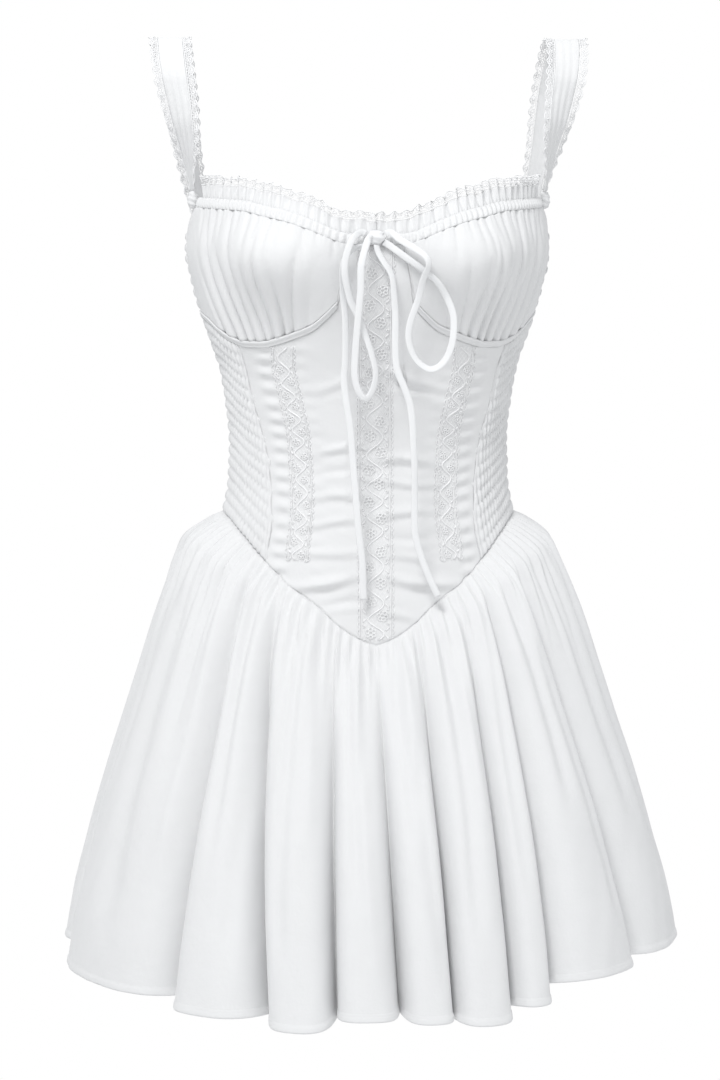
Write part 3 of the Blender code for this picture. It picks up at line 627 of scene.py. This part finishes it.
def add_floor():
    """Pale floor well below the hem."""
    mesh = bpy.data.meshes.new("floor")
    corners = [(x * FLOOR_REACH, y * FLOOR_REACH, FLOOR_LEVEL)
               for x, y in ((-1, -1), (1, -1), (1, 1), (-1, 1))]
    mesh.from_pydata(corners, [], [(0, 1, 2, 3)])
    floor_look, tree, shader = principled("pale_floor", (0.93, 0.93, 0.93), 0.9)
    grain = tree.nodes.new("ShaderNodeTexNoise")
    grain.inputs["Scale"].default_value = 40
    bump = tree.nodes.new("ShaderNodeBump")
    bump.inputs["Strength"].default_value = 0.03
    tree.links.new(grain.outputs["Fac"], bump.inputs["Height"])
    tree.links.new(bump.outputs["Normal"], shader.inputs["Normal"])
    mesh.materials.append(floor_look)
    floor = bpy.data.objects.new("floor", mesh)
    bpy.context.scene.collection.objects.link(floor)


def add_sky():
    """White sky behind the dress, with a dimmer one to light it."""
    world = bpy.data.worlds.new("studio")
    world.use_nodes = True
    tree = world.node_tree
    seen = tree.nodes["Background"]
    seen.inputs["Color"].default_value = (1, 1, 1, 1)
    seen.inputs["Strength"].default_value = 1.0
    dimmer = tree.nodes.new("ShaderNodeBackground")
    dimmer.inputs["Color"].default_value = SKY_COLOUR
    dimmer.inputs["Strength"].default_value = SKY_STRENGTH
    ray = tree.nodes.new("ShaderNodeLightPath")
    either = tree.nodes.new("ShaderNodeMixShader")
    tree.links.new(ray.outputs["Is Camera Ray"], either.inputs["Fac"])
    tree.links.new(dimmer.outputs["Background"], either.inputs[1])
    tree.links.new(seen.outputs["Background"], either.inputs[2])
    tree.links.new(either.outputs["Shader"], tree.nodes["World Output"].inputs["Surface"])
    bpy.context.scene.world = world
    bpy.context.scene.view_settings.view_transform = "Standard"


add_camera()


# The tie at the neck

def front_cover(x, z):
    """How far forward the bodice and what hangs straight from the knot reach."""
    surface = -float(body_point(angle_of(x, z), z)[1])
    over_cup = CUP_PUCKER if abs(x) > 18 else 0.0
    return max(surface + over_cup, np.interp(-z, HANG_DROP, HANG_REACH))


def bow_knot_centre():
    """Middle of the knot, resting on the casing at centre front."""
    x, z = BOW_KNOT_PLACE
    y = float(body_point(0, z)[1]) - CASING_PUCKER - SEAM_GAP - BOW_KNOT_SIZE[1]
    return np.array((x, y, z))


def knot_exit(direction, beyond):
    """Place beyond the knot's surface in a direction from its middle."""
    direction = np.array(direction) / np.linalg.norm(direction)
    reach = 1 / np.linalg.norm(direction / np.array(BOW_KNOT_SIZE))
    return bow_knot_centre() + direction * (reach + beyond)


def add_tie(name, route, leave, come_back=None, twist=(0.0, 0.0, 0.0)):
    """Flat length of the tie along its route, turning slowly about its own line."""
    places = [knot_exit(leave, TIE_SEAT), knot_exit(leave, TIE_LEAD)]
    for x, z, layers in route:
        lift = 2 * TIE_RADIUS + layers * (2 * TIE_RADIUS + TIE_LAYER_GAP)
        places.append((x, -(front_cover(x, z) + LAY_GAP + lift), z))
    if come_back:
        places += [knot_exit(come_back, TIE_LEAD), knot_exit(come_back, TIE_SEAT)]
    path = smooth_path(places, 1.6)
    tangents = np.gradient(path, axis=0)
    tangents /= np.linalg.norm(tangents, axis=1, keepdims=True)
    forward = np.array([[0.0, -1.0, 0.0]])
    across = np.cross(tangents, forward)
    across /= np.linalg.norm(across, axis=1, keepdims=True)
    facing = np.cross(across, tangents)
    along = np.cumsum(np.linalg.norm(np.gradient(path, axis=0), axis=1))
    share = along / along[-1]
    turn = np.radians(TIE_TURN * np.interp(share, np.linspace(0, 1, len(twist)), twist))
    width_way = across * np.cos(turn)[:, None] + facing * np.sin(turn)[:, None]
    flat = TIE_THICKNESS / TIE_WIDTH
    points, quads = tube_parts(path, TIE_WIDTH / 2, TIE_SIDES, flat, width_way)
    faces = [list(map(int, quad)) for quad in quads]
    faces.append(list(range(TIE_SIDES - 1, -1, -1)))
    faces.append(list(range(len(points) - TIE_SIDES, len(points))))
    mesh = bpy.data.meshes.new(name)
    mesh.from_pydata([tuple(point) for point in points * MM], [], faces)
    layer = mesh.uv_layers.new(name="cloth")
    ring = np.array([loop.vertex_index for loop in mesh.loops])
    uv = np.stack((ring % TIE_SIDES * MM, np.repeat(along, TIE_SIDES)[ring] * MM), axis=1)
    layer.uv.foreach_set("vector", uv.ravel())
    mesh.shade_smooth()
    piece = add_piece(name + "_cloth", mesh, tie_cotton, [name])


add_tie("tie_tail_right", TAIL_RIGHT, TAIL_RIGHT_EXIT, None, (60, 70, 30, 0, 10, -20, 10, 25))
add_tie("bow_loop_right", LOOP_RIGHT, LOOP_RIGHT_EXIT, LOOP_RIGHT_RETURN,
        (20, 10, 30, 50, 60, 30, 10, -10, 0, 10))
add_tie("bow_loop_left", LOOP_LEFT, LOOP_LEFT_EXIT, LOOP_LEFT_RETURN,
        (0, 10, 60, 20, 10, 60, 50, 10, 20, 60, 30, 0))
add_tie("tie_tail_left", TAIL_LEFT, TAIL_LEFT_EXIT, None, (50, 60, 20, 0, -10, 20, 40, 10, 0, -30))


# Front panel and the lace on it

def panel_top(angle):
    """Upper edge of the front panel: under the bands, and up both sides of the gore."""
    angle = np.abs(angle)
    band_foot = curve(UNDERBUST, GORE_FOOT_ANGLE) - BAND_HEIGHT - SEAM_GAP
    gore_head = curve(NECK_LINE, GORE_HEAD_ANGLE) - CASING_HEIGHT - SEAM_GAP
    share = (angle - GORE_HEAD_ANGLE) / (GORE_FOOT_ANGLE - GORE_HEAD_ANGLE)
    edge = np.where(angle < GORE_FOOT_ANGLE, mix(gore_head, band_foot, np.clip(share, 0, 1)),
                    curve(UNDERBUST, angle) - BAND_HEIGHT - SEAM_GAP)
    return np.where(angle <= GORE_HEAD_ANGLE, curve(NECK_LINE, angle) - CASING_HEIGHT - SEAM_GAP, edge)


def panel_relief(angle, z):
    """Creases pulled across the front panel, and small puckers beside the flank lace."""
    x = curve(BODY, z, 1) * np.sin(np.radians(angle))
    height = 0.25 * wander(z / 9 + x / 30, 3)
    for left, middle, half_length, half_breadth, ridge, rise in CREASES:
        along = (x - left) / half_length
        bent = middle + rise * (x - left) + 2.0 * np.sin(x / 14 + middle)
        across = (z - bent) / half_breadth
        height = height + CREASE_GAIN * ridge * (np.exp(-along * along - across * across)
                                         - 0.5 * np.exp(-along * along - (across + 1.7) ** 2))
    lace_line = curve(FLANK_LACE, z)
    beside = (np.abs(x) - lace_line - FLANK_LACE_WIDTH / 2) / 11
    window = np.exp(-((beside - 0.45) / 0.5) ** 2)
    phase = 2 * np.pi * z / 11.5 + np.sign(x) + 0.8 * wander(z / 30, 6)
    height = height + PUCKER_HEIGHT * window * np.sin(phase)
    inside = np.exp(-((np.abs(x) - lace_line + FLANK_LACE_WIDTH / 2 + 4) / 5) ** 2)
    height = height + 0.35 * inside * np.sin(2 * np.pi * z / 10.5 + 1.2)
    return height - 0.6


def add_front_panel():
    """Front panel as a fine shell."""
    count = 131
    shares = np.linspace(-1, 1, count)[None, :]
    t = np.linspace(0, 1, count)[:, None]
    z = np.full((count, count), -330.0)
    for _ in range(16):
        angle = shares * curve(FRONT_SEAM, z)
        z = mix(curve(WAIST, np.abs(angle)) + SEAM_GAP / 2, panel_top(angle), t)
    angle = angle - gap_angle(SEAM_GAP / 2, z) * shares
    points = tucked(body_point(angle, z, panel_relief(angle, z)), "head", 2.0, 0.9)
    points = tucked(points, "foot", 1.0, 0.5)
    piece = add_shell("front_panel_cloth", points, COTTON_THICKNESS, "front_panel")


def panel_spot(x, z, out):
    """Points moved out from the front panel at distances from the middle and heights."""
    angle = angle_of(x, z)
    return body_point(angle, z, panel_relief(angle, z) + out)


def lace_ground(length, width, pitch):
    """Crossing threads of a net, cut off at a strip's edges: paths of along and across."""
    paths = []
    slope = 1.35
    run = width * slope
    count = int((length + run) / pitch)
    for k in range(count):
        start = -run + (k + 0.5) * pitch
        for sign in (1, -1):
            low = max(0.0, -start / run)
            high = min(1.0, (length - start) / run)
            if high - low < 0.05:
                continue
            share = np.linspace(low, high, max(3, int(8 * (high - low)) + 2))
            along = start + share * run
            across = sign * (share - 0.5) * width
            paths.append((along, across))
    return paths


def vine_paths(length, width, period):
    """Wavy vine up a lace strip, with a flower in every bend and small leaves beside it."""
    reach = width * 0.22
    along = np.arange(1.0, length - 1.0, 1.6)
    sway = 0.10 * period * np.sin(along / 17)
    thick = [(along, reach * np.sin(2 * np.pi * (along + sway) / period))]
    fine = []
    turn = np.linspace(0, 2 * np.pi, 7)
    for k in range(int((length - period / 4) / (period / 2))):
        middle = period / 4 + k * period / 2 + 0.8 * math.sin(2.3 * k)
        side = -1 if k % 2 else 1
        centre = -side * width * (0.15 + 0.03 * math.sin(1.9 * k))
        petals = 6 if width > 22 else 5
        ring = width * 0.10
        for petal in range(petals):
            bearing = 2 * math.pi * petal / petals + 0.7 * k
            fine.append((middle + ring * math.cos(bearing) + ring * 0.55 * np.cos(turn),
                         centre + ring * math.sin(bearing) + ring * 0.55 * np.sin(turn)))
        for leaf in (-1, 1):
            stem = np.linspace(0, 1, 4)
            thick.append((middle + leaf * (0.08 + 0.10 * stem) * period,
                          side * (0.27 + 0.09 * stem) * width))
            fine.append((middle + leaf * 0.22 * period + 0.9 * np.cos(turn),
                         -side * 0.33 * width + 0.9 * np.sin(turn)))
    return thick, fine


def edge_paths(length, width, pitch):
    """Firm edge cords of a lace strip, each with a row of tiny loops outside it."""
    paths = []
    along = np.arange(0.0, length, 1.5)
    for side in (1, -1):
        paths.append((along, np.full_like(along, side * (width / 2 - 1.6))))
        paths.append((along, np.full_like(along, side * (width / 2 - 2.6))))
        loops = np.arange(0.0, length, pitch / 5)
        paths.append((loops, side * (width / 2 - 1.8 + 2.0 * np.abs(np.sin(np.pi * loops / pitch)))))
    return paths


def add_strip_lace(name, node, place, length, width, period, ground_pitch):
    """Lace strip of real threads laid on the cloth."""
    thick, fine = vine_paths(length, width, period)
    threads = []
    for paths, (out, radius, sides) in ((lace_ground(length, width - 3, ground_pitch), NET_THREAD),
                                        (thick, VINE_THREAD), (fine, FLOWER_THREAD),
                                        (edge_paths(length, width, 5.2), STRIP_EDGE_THREAD)):
        for along, across in paths:
            threads.append((place(along, across, out), radius, sides))
    add_piece(name, threads_mesh(name, threads), lace_thread, [node])


def add_bodice_lace():
    """Centre strip from the casing to the point of the waist, and the two flank strips."""
    foot = -464.0
    head = float(panel_top(0.0)) - 1

    def centre_place(along, across, out):
        z = foot + along
        lowest = curve(WAIST, np.abs(angle_of(across, z))) + 1.0
        return panel_spot(across, np.maximum(z, lowest), out)

    add_strip_lace("lace_centre_threads", "lace_strip_centre", centre_place, head - foot,
                   CENTRE_LACE_WIDTH, 25, 4.6)
    for side in (1, -1):
        low = -404.0
        high = -238.0

        def flank_place(along, across, out, side=side, low=low):
            z = low + along
            x = curve(FLANK_LACE, z) + across
            angle = angle_of(x, z)
            z = np.clip(z, curve(WAIST, angle) + 1.2, panel_top(angle) - 0.8)
            return panel_spot(side * x, z, out)

        name = "left" if side > 0 else "right"
        add_strip_lace("lace_flank_threads_" + name, "lace_strip_" + name, flank_place, high - low,
                       FLANK_LACE_WIDTH, 19, 4.2)


# Cups, bands and neck

def cup_relief(angle, t, z, side):
    """Folds that fan over a cup from the band under it, and small tucks under the casing."""
    place = np.abs(angle)
    height = np.zeros_like(angle)
    shift = 0.9 * side
    numbers = np.arange(len(CUP_FOLDS) + 2)
    folds = np.array(CUP_FOLDS)
    for row, share in enumerate(t[:, 0]):
        lines = mix(folds[:, 0], folds[:, 1], share) + shift
        lines = lines + 0.7 * np.sin(4.2 * share + 1.7 * numbers[1:-1] + side) * (0.3 + share)
        stops = folds[:, 2] + 0.09 * np.sin(2.1 * numbers[1:-1] + 2 * side)
        fade = 1 - smooth_step(0.0, 1.0, (share - stops + 0.55) / 0.55)
        depths = folds[:, 3] * fade * (0.8 + 0.2 * np.sin(1.3 * numbers[1:-1] + 2 * side))
        lines = np.concatenate(([lines[0] - 7], lines, [lines[-1] + 6]))
        depths = np.concatenate(([0.0], depths, [0.0]))
        number = np.interp(place[row], lines, numbers)
        depth = np.interp(place[row], lines, depths)
        height[row] = CUP_FOLD_GAIN * depth * (np.abs(np.sin(np.pi * number)) ** 0.8 - 0.75)
    for k, (at, reach, half_width, depth) in enumerate(CUP_TUCKS):
        line = at + shift + 0.5 * np.sin(5 * t + k)
        across = (place - line) / (half_width * (1.5 - 0.6 * t))
        window = smooth_step(1 - reach * 1.1, 1.0, t)
        height = height - CUP_FOLD_GAIN * depth * window * np.exp(-np.abs(across) ** 1.5)
    fine = np.cos(2 * np.pi * arc_place(angle, z) / 3.9 + 1.1 * wander(angle / 5, 8))
    return height + 0.35 * fine * smooth_step(0.86, 1.0, t) + 0.5


def add_cup(side):
    """Cup as a fine gathered shell, and the piped band under it."""
    name = "left" if side > 0 else "right"
    s = np.linspace(0, 1, 181)[None, :]
    t = np.linspace(0, 1, 65)[:, None]
    foot = mix(GORE_FOOT_ANGLE + 0.2, 90, s)
    head = mix(GORE_HEAD_ANGLE + 0.2, 90, s)
    angle = mix(foot, head, t)
    top = np.where(head < ARMHOLE[0][0], curve(NECK_LINE, head) - CASING_HEIGHT - SEAM_GAP,
                   curve(ARMHOLE, head))
    z = mix(curve(UNDERBUST, foot) + SEAM_GAP, top, t)
    angle = side * (angle - s * gap_angle(SEAM_GAP / 2, z))
    points = sided(body_point(angle, z, cup_relief(angle, t, z, side)), side)
    points = tucked(tucked(points, "foot", 1.6, 0.7), "head", 2.0, 0.6)
    piece = add_shell("cup_cloth_" + name, points, COTTON_THICKNESS, "cup_" + name)
    angle = np.linspace(GORE_FOOT_ANGLE + 0.3, 90 - 0.07, 140)[None, :]
    t = np.linspace(0, 1, 13)[:, None]
    z = curve(UNDERBUST, angle) - BAND_HEIGHT * (1 - t)
    piping = 1.25 * np.sqrt(np.clip(1 - ((t - 0.72) / 0.27) ** 2, 0, 1))
    ticks = 0.25 * np.abs(np.sin(np.pi * arc_place(angle, z) / 2.4)) * (t < 0.45)
    points = sided(body_point(side * angle, z, 0.35 + piping + ticks), side)
    add_shell("band_cloth_" + name, points, BAND_THICKNESS, "underbust_band_" + name)


def ruffle_relief(arc, above):
    """Waves of the ruffle, tight at the casing and open at the edge."""
    grow = np.clip(above / (RUFFLE_CLOTH + RUFFLE_LACE), 0, 1)
    wave = np.sin(2 * np.pi * arc / 8.4 + 1.9 * wander(arc / 23, 11))
    fine = np.sin(2 * np.pi * arc / 3.7 + 1.3 * wander(arc / 9, 12)) * np.exp(-grow * 3)
    curl = 1.2 * wander(arc / 6.5, 13) * grow
    return mix(0.5, 2.9, grow) * wave + curl + 0.6 * fine + above * 0.10 - 0.6 * np.exp(-above / 2)


def neck_spot(side, angle, above, extra=0.0):
    """Points above the neck line, on the ruffle's waves."""
    arc = arc_place(angle, -140.0) + 40 * side
    sway = 1.1 * wander(arc / 5.2, 19) * np.clip(above / RUFFLE_CLOTH, 0, 1)
    z = curve(NECK_LINE, angle) + above + sway
    return body_point(side * angle, z, ruffle_relief(arc, above) + extra)


def add_neck(side):
    """Gathered casing, the ruffle over it, and the ruffle's scalloped lace."""
    name = "left" if side > 0 else "right"
    angle = np.linspace(-0.15, CASING_END_ANGLE, 300)[None, :]
    t = np.linspace(0, 1, 13)[:, None]
    above = mix(-CASING_HEIGHT, 0.0, t)
    z = curve(NECK_LINE, angle) + above
    arc = arc_place(angle, z) + 40 * side
    tube = 1.6 * np.sqrt(np.clip(1 - ((t - 0.5) / 0.42) ** 2, 0, 1))
    pleat = np.sin(2 * np.pi * arc / 4.6 + 1.2 * wander(arc / 13, 14) + 0.8 * wander(t * 4, 3))
    relief = tube * (0.55 + 0.4 * pleat) + 0.25 * pleat + 0.1
    points = sided(body_point(side * angle, z, relief), side)
    piece = add_shell("casing_cloth_" + name, points, COTTON_THICKNESS, "neck_casing_" + name)
    angle = np.linspace(-0.15, RUFFLE_END_ANGLE, 320)[None, :]
    above = np.linspace(-1.0, RUFFLE_CLOTH, 13)[:, None]
    points = sided(neck_spot(side, angle, above), side)
    piece = add_shell("ruffle_cloth_" + name, points, RUFFLE_THICKNESS, "neck_ruffle_" + name)
    length = float(arc_place(RUFFLE_END_ANGLE, -140.0))

    def place(along, out_from, extra):
        spot = np.clip(np.asarray(along) / length * RUFFLE_END_ANGLE, 0.06, RUFFLE_END_ANGLE)
        return neck_spot(side, spot, RUFFLE_CLOTH + 0.3 + np.asarray(out_from), extra)

    add_edge_lace("ruffle_lace_" + name, "neck_lace_" + name, place, length, RUFFLE_LACE, 8.4)


def add_edge_lace(name, node, place, length, width, scallop):
    """Scalloped lace edging of real threads: cords at foot and edge, net, and fans."""
    threads = []
    count = max(1, round(length / scallop))
    pitch = length / count
    along = np.arange(0.0, length, 1.3)

    def edge(spot):
        return (width - 2.6) + 2.4 * np.abs(np.sin(np.pi * spot / pitch))

    def add_thread(spot, out_from, kind):
        extra, radius, sides = kind
        threads.append((place(spot, out_from, extra), radius, sides))

    add_thread(along, np.full_like(along, 0.35), FOOT_CORD)
    add_thread(along, np.full_like(along, 1.7), FINE_CORD)
    add_thread(along, edge(along) - 0.3, EDGE_CORD)
    add_thread(along, edge(along) - 1.7, FINE_CORD)
    net = 2.6
    for k in range(int(length / net)):
        start = k * net
        for lean in (1, -1):
            share = np.linspace(0, 1, 5)
            spot = np.clip(start + net / 2 + lean * (share - 0.5) * 3.4, 0, length)
            add_thread(spot, share * (edge(spot) - 0.5), FRILL_NET)
    for k in range(count):
        middle = (k + 0.5) * pitch
        turn = np.linspace(0, 2 * np.pi, 10)
        spot = middle + 1.25 * np.cos(turn)
        add_thread(spot, width * 0.52 + 1.1 * np.sin(turn), FRILL_RING)
        for lean in (-1, 1):
            share = np.linspace(0, 1, 4)
            spot = middle + lean * (0.8 + share * pitch * 0.28)
            add_thread(spot, 1.7 + share * (width * 0.42), FRILL_STEM)
    add_piece(name, threads_mesh(name, threads), lace_thread, [node])


# Shirred panels

def shirr_relief(arc, t, puffs):
    """Rows of puffs between elastic, each broken into narrow upright gathers."""
    row = t * puffs
    puff = np.abs(np.sin(np.pi * row)) ** 0.75
    shift = 0.9 * wander(np.floor(row) * 2.3 + arc / 31, 15)
    gather = np.sin(2 * np.pi * arc / SHIRR_RIDGE_PITCH + shift + 0.8 * wander(arc / 7, 16))
    strength = 1 + 0.35 * wander(arc / 11 + np.floor(row), 17)
    return SHIRR_PUFF * puff + SHIRR_RIDGE * gather * strength * (0.45 + 0.55 * puff) - 0.1


def add_side_panel(side):
    """Side panel beside the front."""
    name = "left" if side > 0 else "right"
    puffs = max(2, round(155 / SHIRR_PITCH))
    rows = puffs * 6 + 1
    columns = 85
    share = np.linspace(0, 1, columns)[None, :]
    t = np.linspace(0, 1, rows)[:, None]
    z = np.full((rows, columns), -300.0)
    for _ in range(16):
        seam = curve(FRONT_SEAM, z) + gap_angle(1.2 * SEAM_GAP, z)
        angle = mix(seam, 90 - gap_angle(SEAM_GAP / 2, z), share)
        foot = curve(WAIST, angle) + 1.5 * SEAM_GAP
        head = curve(UNDERBUST, angle) - BAND_HEIGHT - 1.5 * SEAM_GAP
        z = mix(foot, head, t)
    arc = arc_place(angle, -300.0) + 50 * side
    edge = smooth_step(0, 0.06, share) * mix(1.0, smooth_step(0, 0.03, 1 - share), 0.6)
    relief = shirr_relief(arc, t, puffs) * (0.35 + 0.65 * edge)
    points = sided(body_point(side * angle, z, relief), side)
    points = tucked(points, "end" if side < 0 else "start", 2.0, 1.3)
    piece = add_shell("side_cloth_" + name, points, COTTON_THICKNESS, "side_smocked_" + name)


def add_back_panel():
    """Shirred back from side seam to side seam."""
    puffs = max(2, round(225 / SHIRR_PITCH))
    angle = np.linspace(89.6, 270.4, 300)[None, :]
    t = np.linspace(0, 1, puffs * 3 + 1)[:, None]
    foot = curve(WAIST, np.minimum(angle, 360 - angle)) + SEAM_GAP / 2
    z = mix(foot, BACK_TOP, t)
    arc = np.broadcast_to(arc_place(angle, -300.0), z.shape)
    points = body_point(angle, z, shirr_relief(arc, t, puffs))
    piece = add_shell("back_cloth", points, COTTON_THICKNESS, "back_panel")


# Skirt

def skirt_gather(angle, drop):
    """Gathers that fade below the waist seam, each reaching its own way down."""
    arc = np.radians(angle) * 118
    reach = 34 + 22 * wander(arc / 13, 21)
    fine = np.sin(2 * np.pi * arc / 7.0 + 1.6 * wander(arc / 17, 22))
    fine = fine + 0.35 * np.sin(2 * np.pi * arc / 3.1 + wander(arc / 9, 25)) + 0.3
    gather = 2.6 * fine * np.exp(-(drop / np.clip(reach, 14, 70)) ** 1.4) * smooth_step(-2, 5, drop)
    longer = np.sin(2 * np.pi * arc / 15.5 + 1.5 * wander(arc / 29, 23))
    return gather + 2.4 * longer * np.exp(-(drop / 95) ** 2) * smooth_step(5, 28, drop)


def skirt_crease(angle, t):
    """Soft creases inside the big folds."""
    crease = np.zeros_like(angle)
    for top_angle, hem_angle, start, stop, half_width, height in SKIRT_CREASES:
        line = mix(top_angle, hem_angle, t) + 0.8 * np.sin(5 * t + top_angle)
        across = (angle - line) / half_width
        window = smooth_step(start, start + 0.12, t) * (1 - smooth_step(stop - 0.2, stop, t))
        crease = crease + height * window * np.exp(-across * across)
    return crease


def hem_relief(from_hem):
    """Rolled hem with its line of stitches, flat at the side seams."""
    roll = 0.75 * smooth_step(5.6, 4.9, from_hem) * (1 - 0.6 * smooth_step(0.8, 0.0, from_hem))
    stitch = -0.35 * np.exp(-((from_hem - 4.4) / 0.5) ** 2)
    relief = (roll + stitch)[..., None]
    relief[:, 0] = 0
    relief[:, -1] = 0
    return relief


def skirt_points(folds, columns, rows, seam_side):
    """Grid of the skirt's outer face, with gathers, soft creases and a rolled hem."""
    count = len(folds)
    widths = np.diff([row[1] for row in folds] + [folds[0][1] + 180])
    shares = [max(8, round(columns * width / 180)) for width in widths]
    index = np.concatenate([np.full(share, i) for i, share in enumerate(shares)] + [[count - 1]])
    q = np.concatenate([np.arange(share) / share for share in shares] + [[1.0]])[None, :]
    table = np.array(folds, dtype=float)
    ends = np.vstack((table[1:], table[:1]))
    ends[-1, :2] = table[0, :2] + 180
    before = np.vstack((table[:1], table[:-1]))
    after = np.vstack((table[1:], table[-1:]))
    fold = table[index]
    end = ends[index]
    waist_rows = np.linspace(0, 0.12, rows // 4)
    middle_rows = np.linspace(0.12, 0.97, rows // 2 + 1)[1:]
    hem_rows = np.linspace(0.97, 1.0, rows // 8 + 1)[1:]
    t = np.concatenate((waist_rows, middle_rows, hem_rows))[::-1, None]
    bloom = t ** 0.7
    crest = 1 - np.abs(2 * q - 1) ** FOLD_BLUNTNESS
    shift = q - FOLD_SQUEEZE * bloom * np.sin(2 * np.pi * q) + fold[:, 3] * bloom * crest
    angle = mix(mix(fold[:, 0], fold[:, 1], t), mix(end[:, 0], end[:, 1], t), shift)
    valley_depth = mix((before[index, 2] + fold[:, 2]) / 2, (fold[:, 2] + after[index, 2]) / 2, q)
    valley_hem = mix((before[index, 4] + fold[:, 4]) / 2, (fold[:, 4] + after[index, 4]) / 2, q)
    ripple = mix(-VALLEY_SHARE * valley_depth, (1 - VALLEY_SHARE) * fold[:, 2], crest)
    folded = np.where(angle <= 180, angle, 360 - angle)
    waist = curve(WAIST, np.abs(folded)) - SEAM_GAP / 2
    z = mix(waist, mix(valley_hem, fold[:, 4], crest), t)
    top = body_point(angle, waist)
    turn = np.radians(angle)
    depth = np.where(np.cos(turn) > 0, HEM_FRONT, HEM_BACK)
    hem = np.stack((HEM_HALF_WIDTH * np.sin(turn), -depth * np.cos(turn), np.zeros_like(turn)), axis=-1)
    frontness = np.clip(np.cos(turn), 0, 1) ** 2
    out = mix(curve(SIDE_SPREAD, np.broadcast_to(t, angle.shape)),
              curve(FRONT_SPREAD, np.broadcast_to(t, angle.shape)), frontness)
    place = mix(top, hem, out[..., None])
    place[..., 2] = z
    outward = hem / np.linalg.norm(hem, axis=-1, keepdims=True)
    iron = 0.5 * wander(angle / 3 + t * 9, 24) * t
    relief = ripple * bloom + skirt_gather(angle, waist - z) + skirt_crease(angle, t) + iron
    place = place + outward * relief[..., None]
    for column in (0, -1):
        place[:, column, 1] = seam_side * SEAM_GAP / 2
    from_hem = (1 - t) * (waist - mix(valley_hem, fold[:, 4], crest))
    return place + grid_normals(place) * hem_relief(from_hem)


def add_skirt():
    """Front and back of the skirt."""
    front = tucked(skirt_points(FRONT_FOLDS, FRONT_COLUMNS, SKIRT_ROWS, -1), "head", 2.6, 0.9)
    piece = add_shell("skirt_front_cloth", front, SKIRT_THICKNESS, "skirt_front")
    back = tucked(skirt_points(BACK_FOLDS, BACK_COLUMNS, SKIRT_ROWS, 1), "head", 2.6, 0.9)
    piece = add_shell("skirt_back_cloth", back, SKIRT_THICKNESS, "skirt_back")


# Straps and knots

def strap_rows(side, places):
    """Centres, width directions, and half widths of cloth and lace along a strap."""
    indexed = [(k, *row) for k, row in enumerate(STRAP)]
    centre = np.stack([curve(indexed, places, column) for column in (1, 2, 3)], axis=1)
    turn = np.radians(curve(indexed, places, 4))
    width = np.stack((np.cos(turn), np.sin(turn), np.zeros_like(turn)), axis=1)
    centre[:, 0] *= side
    width[:, 0] *= side
    return centre, width, curve(indexed, places, 5), curve(indexed, places, 6)


def add_strap(side):
    """Strap with soft lengthwise folds from its knot, and scalloped lace along both edges."""
    name = "left" if side > 0 else "right"
    places = np.linspace(0, len(STRAP) - 1, 180)
    centre, width, core, whole = strap_rows(side, places)
    steps = np.linalg.norm(np.diff(centre, axis=0), axis=1)
    along = np.concatenate(([0], np.cumsum(steps)))
    length = along[-1]
    tangents = np.gradient(centre, axis=0)
    facing = np.cross(width, tangents) * side
    facing /= np.linalg.norm(facing, axis=1, keepdims=True)
    across = np.linspace(-1, 1, 25)[None, :]
    near_knot = np.exp(-along / 40)[:, None]
    phase = 3.4 * np.pi * across + 0.7 * wander(along / 25, 31)[:, None]
    pleats = (0.9 * near_knot + 0.12) * np.sin(phase)
    puffs = 0.25 * wander(along / 6, 32)[:, None] * (np.abs(across) > 0.6)
    lift = (pleats + puffs)[..., None] * facing[:, None, :]
    points = centre[:, None, :] + width[:, None, :] * (across * core[:, None])[..., None] + lift
    points = sided(points, side)
    piece = add_shell("strap_cloth_" + name, points, STRAP_THICKNESS, "strap_" + name)

    def spots(at, table):
        return np.stack([np.interp(at, along, table[:, k]) for k in range(3)], axis=1)

    for edge_name, edge_sign in (("inner", -1), ("outer", 1)):
        def place(at, out_from, extra, edge_sign=edge_sign):
            at = np.clip(np.asarray(at, dtype=float), 0, length)
            half = np.interp(at, along, core)
            reach = (np.interp(at, along, whole) - half - SEAM_GAP) / STRAP_LACE
            gone = edge_sign * (half + SEAM_GAP + np.asarray(out_from) * reach)
            frill = 0.9 * np.sin(2 * np.pi * at / 11 + edge_sign) * np.asarray(out_from) / STRAP_LACE
            return spots(at, centre) + spots(at, width) * gone[:, None] \
                + spots(at, facing) * (frill + extra)[:, None]

        lace_name = "strap_lace_" + edge_name + "_" + name
        add_edge_lace(lace_name + "_threads", lace_name, place, float(length), STRAP_LACE, 9.2)
    x, y, z = KNOT_PLACE
    add_knot("strap_knot_cloth_" + name, "strap_knot_" + name, (side * x, y, z), KNOT_SIZE, cotton,
             5)


def add_knot(name, node, place, size, look, bands):
    """Knot of cloth wound in a few soft bands."""
    v = np.linspace(-np.pi / 2, np.pi / 2, 33)[:, None]
    u = np.linspace(-np.pi, np.pi, 65)[None, :]
    band = 1 + 0.07 * np.cos(bands * (v * 2 + 0.5 * np.sin(u))) + 0.03 * np.sin(3 * u + 4 * v)
    round_off = np.cos(v) ** 0.8 * band / 1.1
    points = np.stack((size[0] * round_off * np.sin(u), -size[1] * round_off * np.cos(u),
                       size[2] * np.sin(v) * np.ones_like(u)), axis=-1) + np.array(place)
    add_piece(name, grid_mesh(name, points), look, [node])


add_floor()
for light_facts in LIGHTS:
    add_light(*light_facts)
add_sky()
add_knot("bow_knot_cloth", "bow_knot", bow_knot_centre(), BOW_KNOT_SIZE, tie_cotton, 3)
add_front_panel()
add_bodice_lace()
for wearer_side in (1, -1):
    add_cup(wearer_side)
    add_neck(wearer_side)
    add_side_panel(wearer_side)
    add_strap(wearer_side)
add_back_panel()
add_skirt()
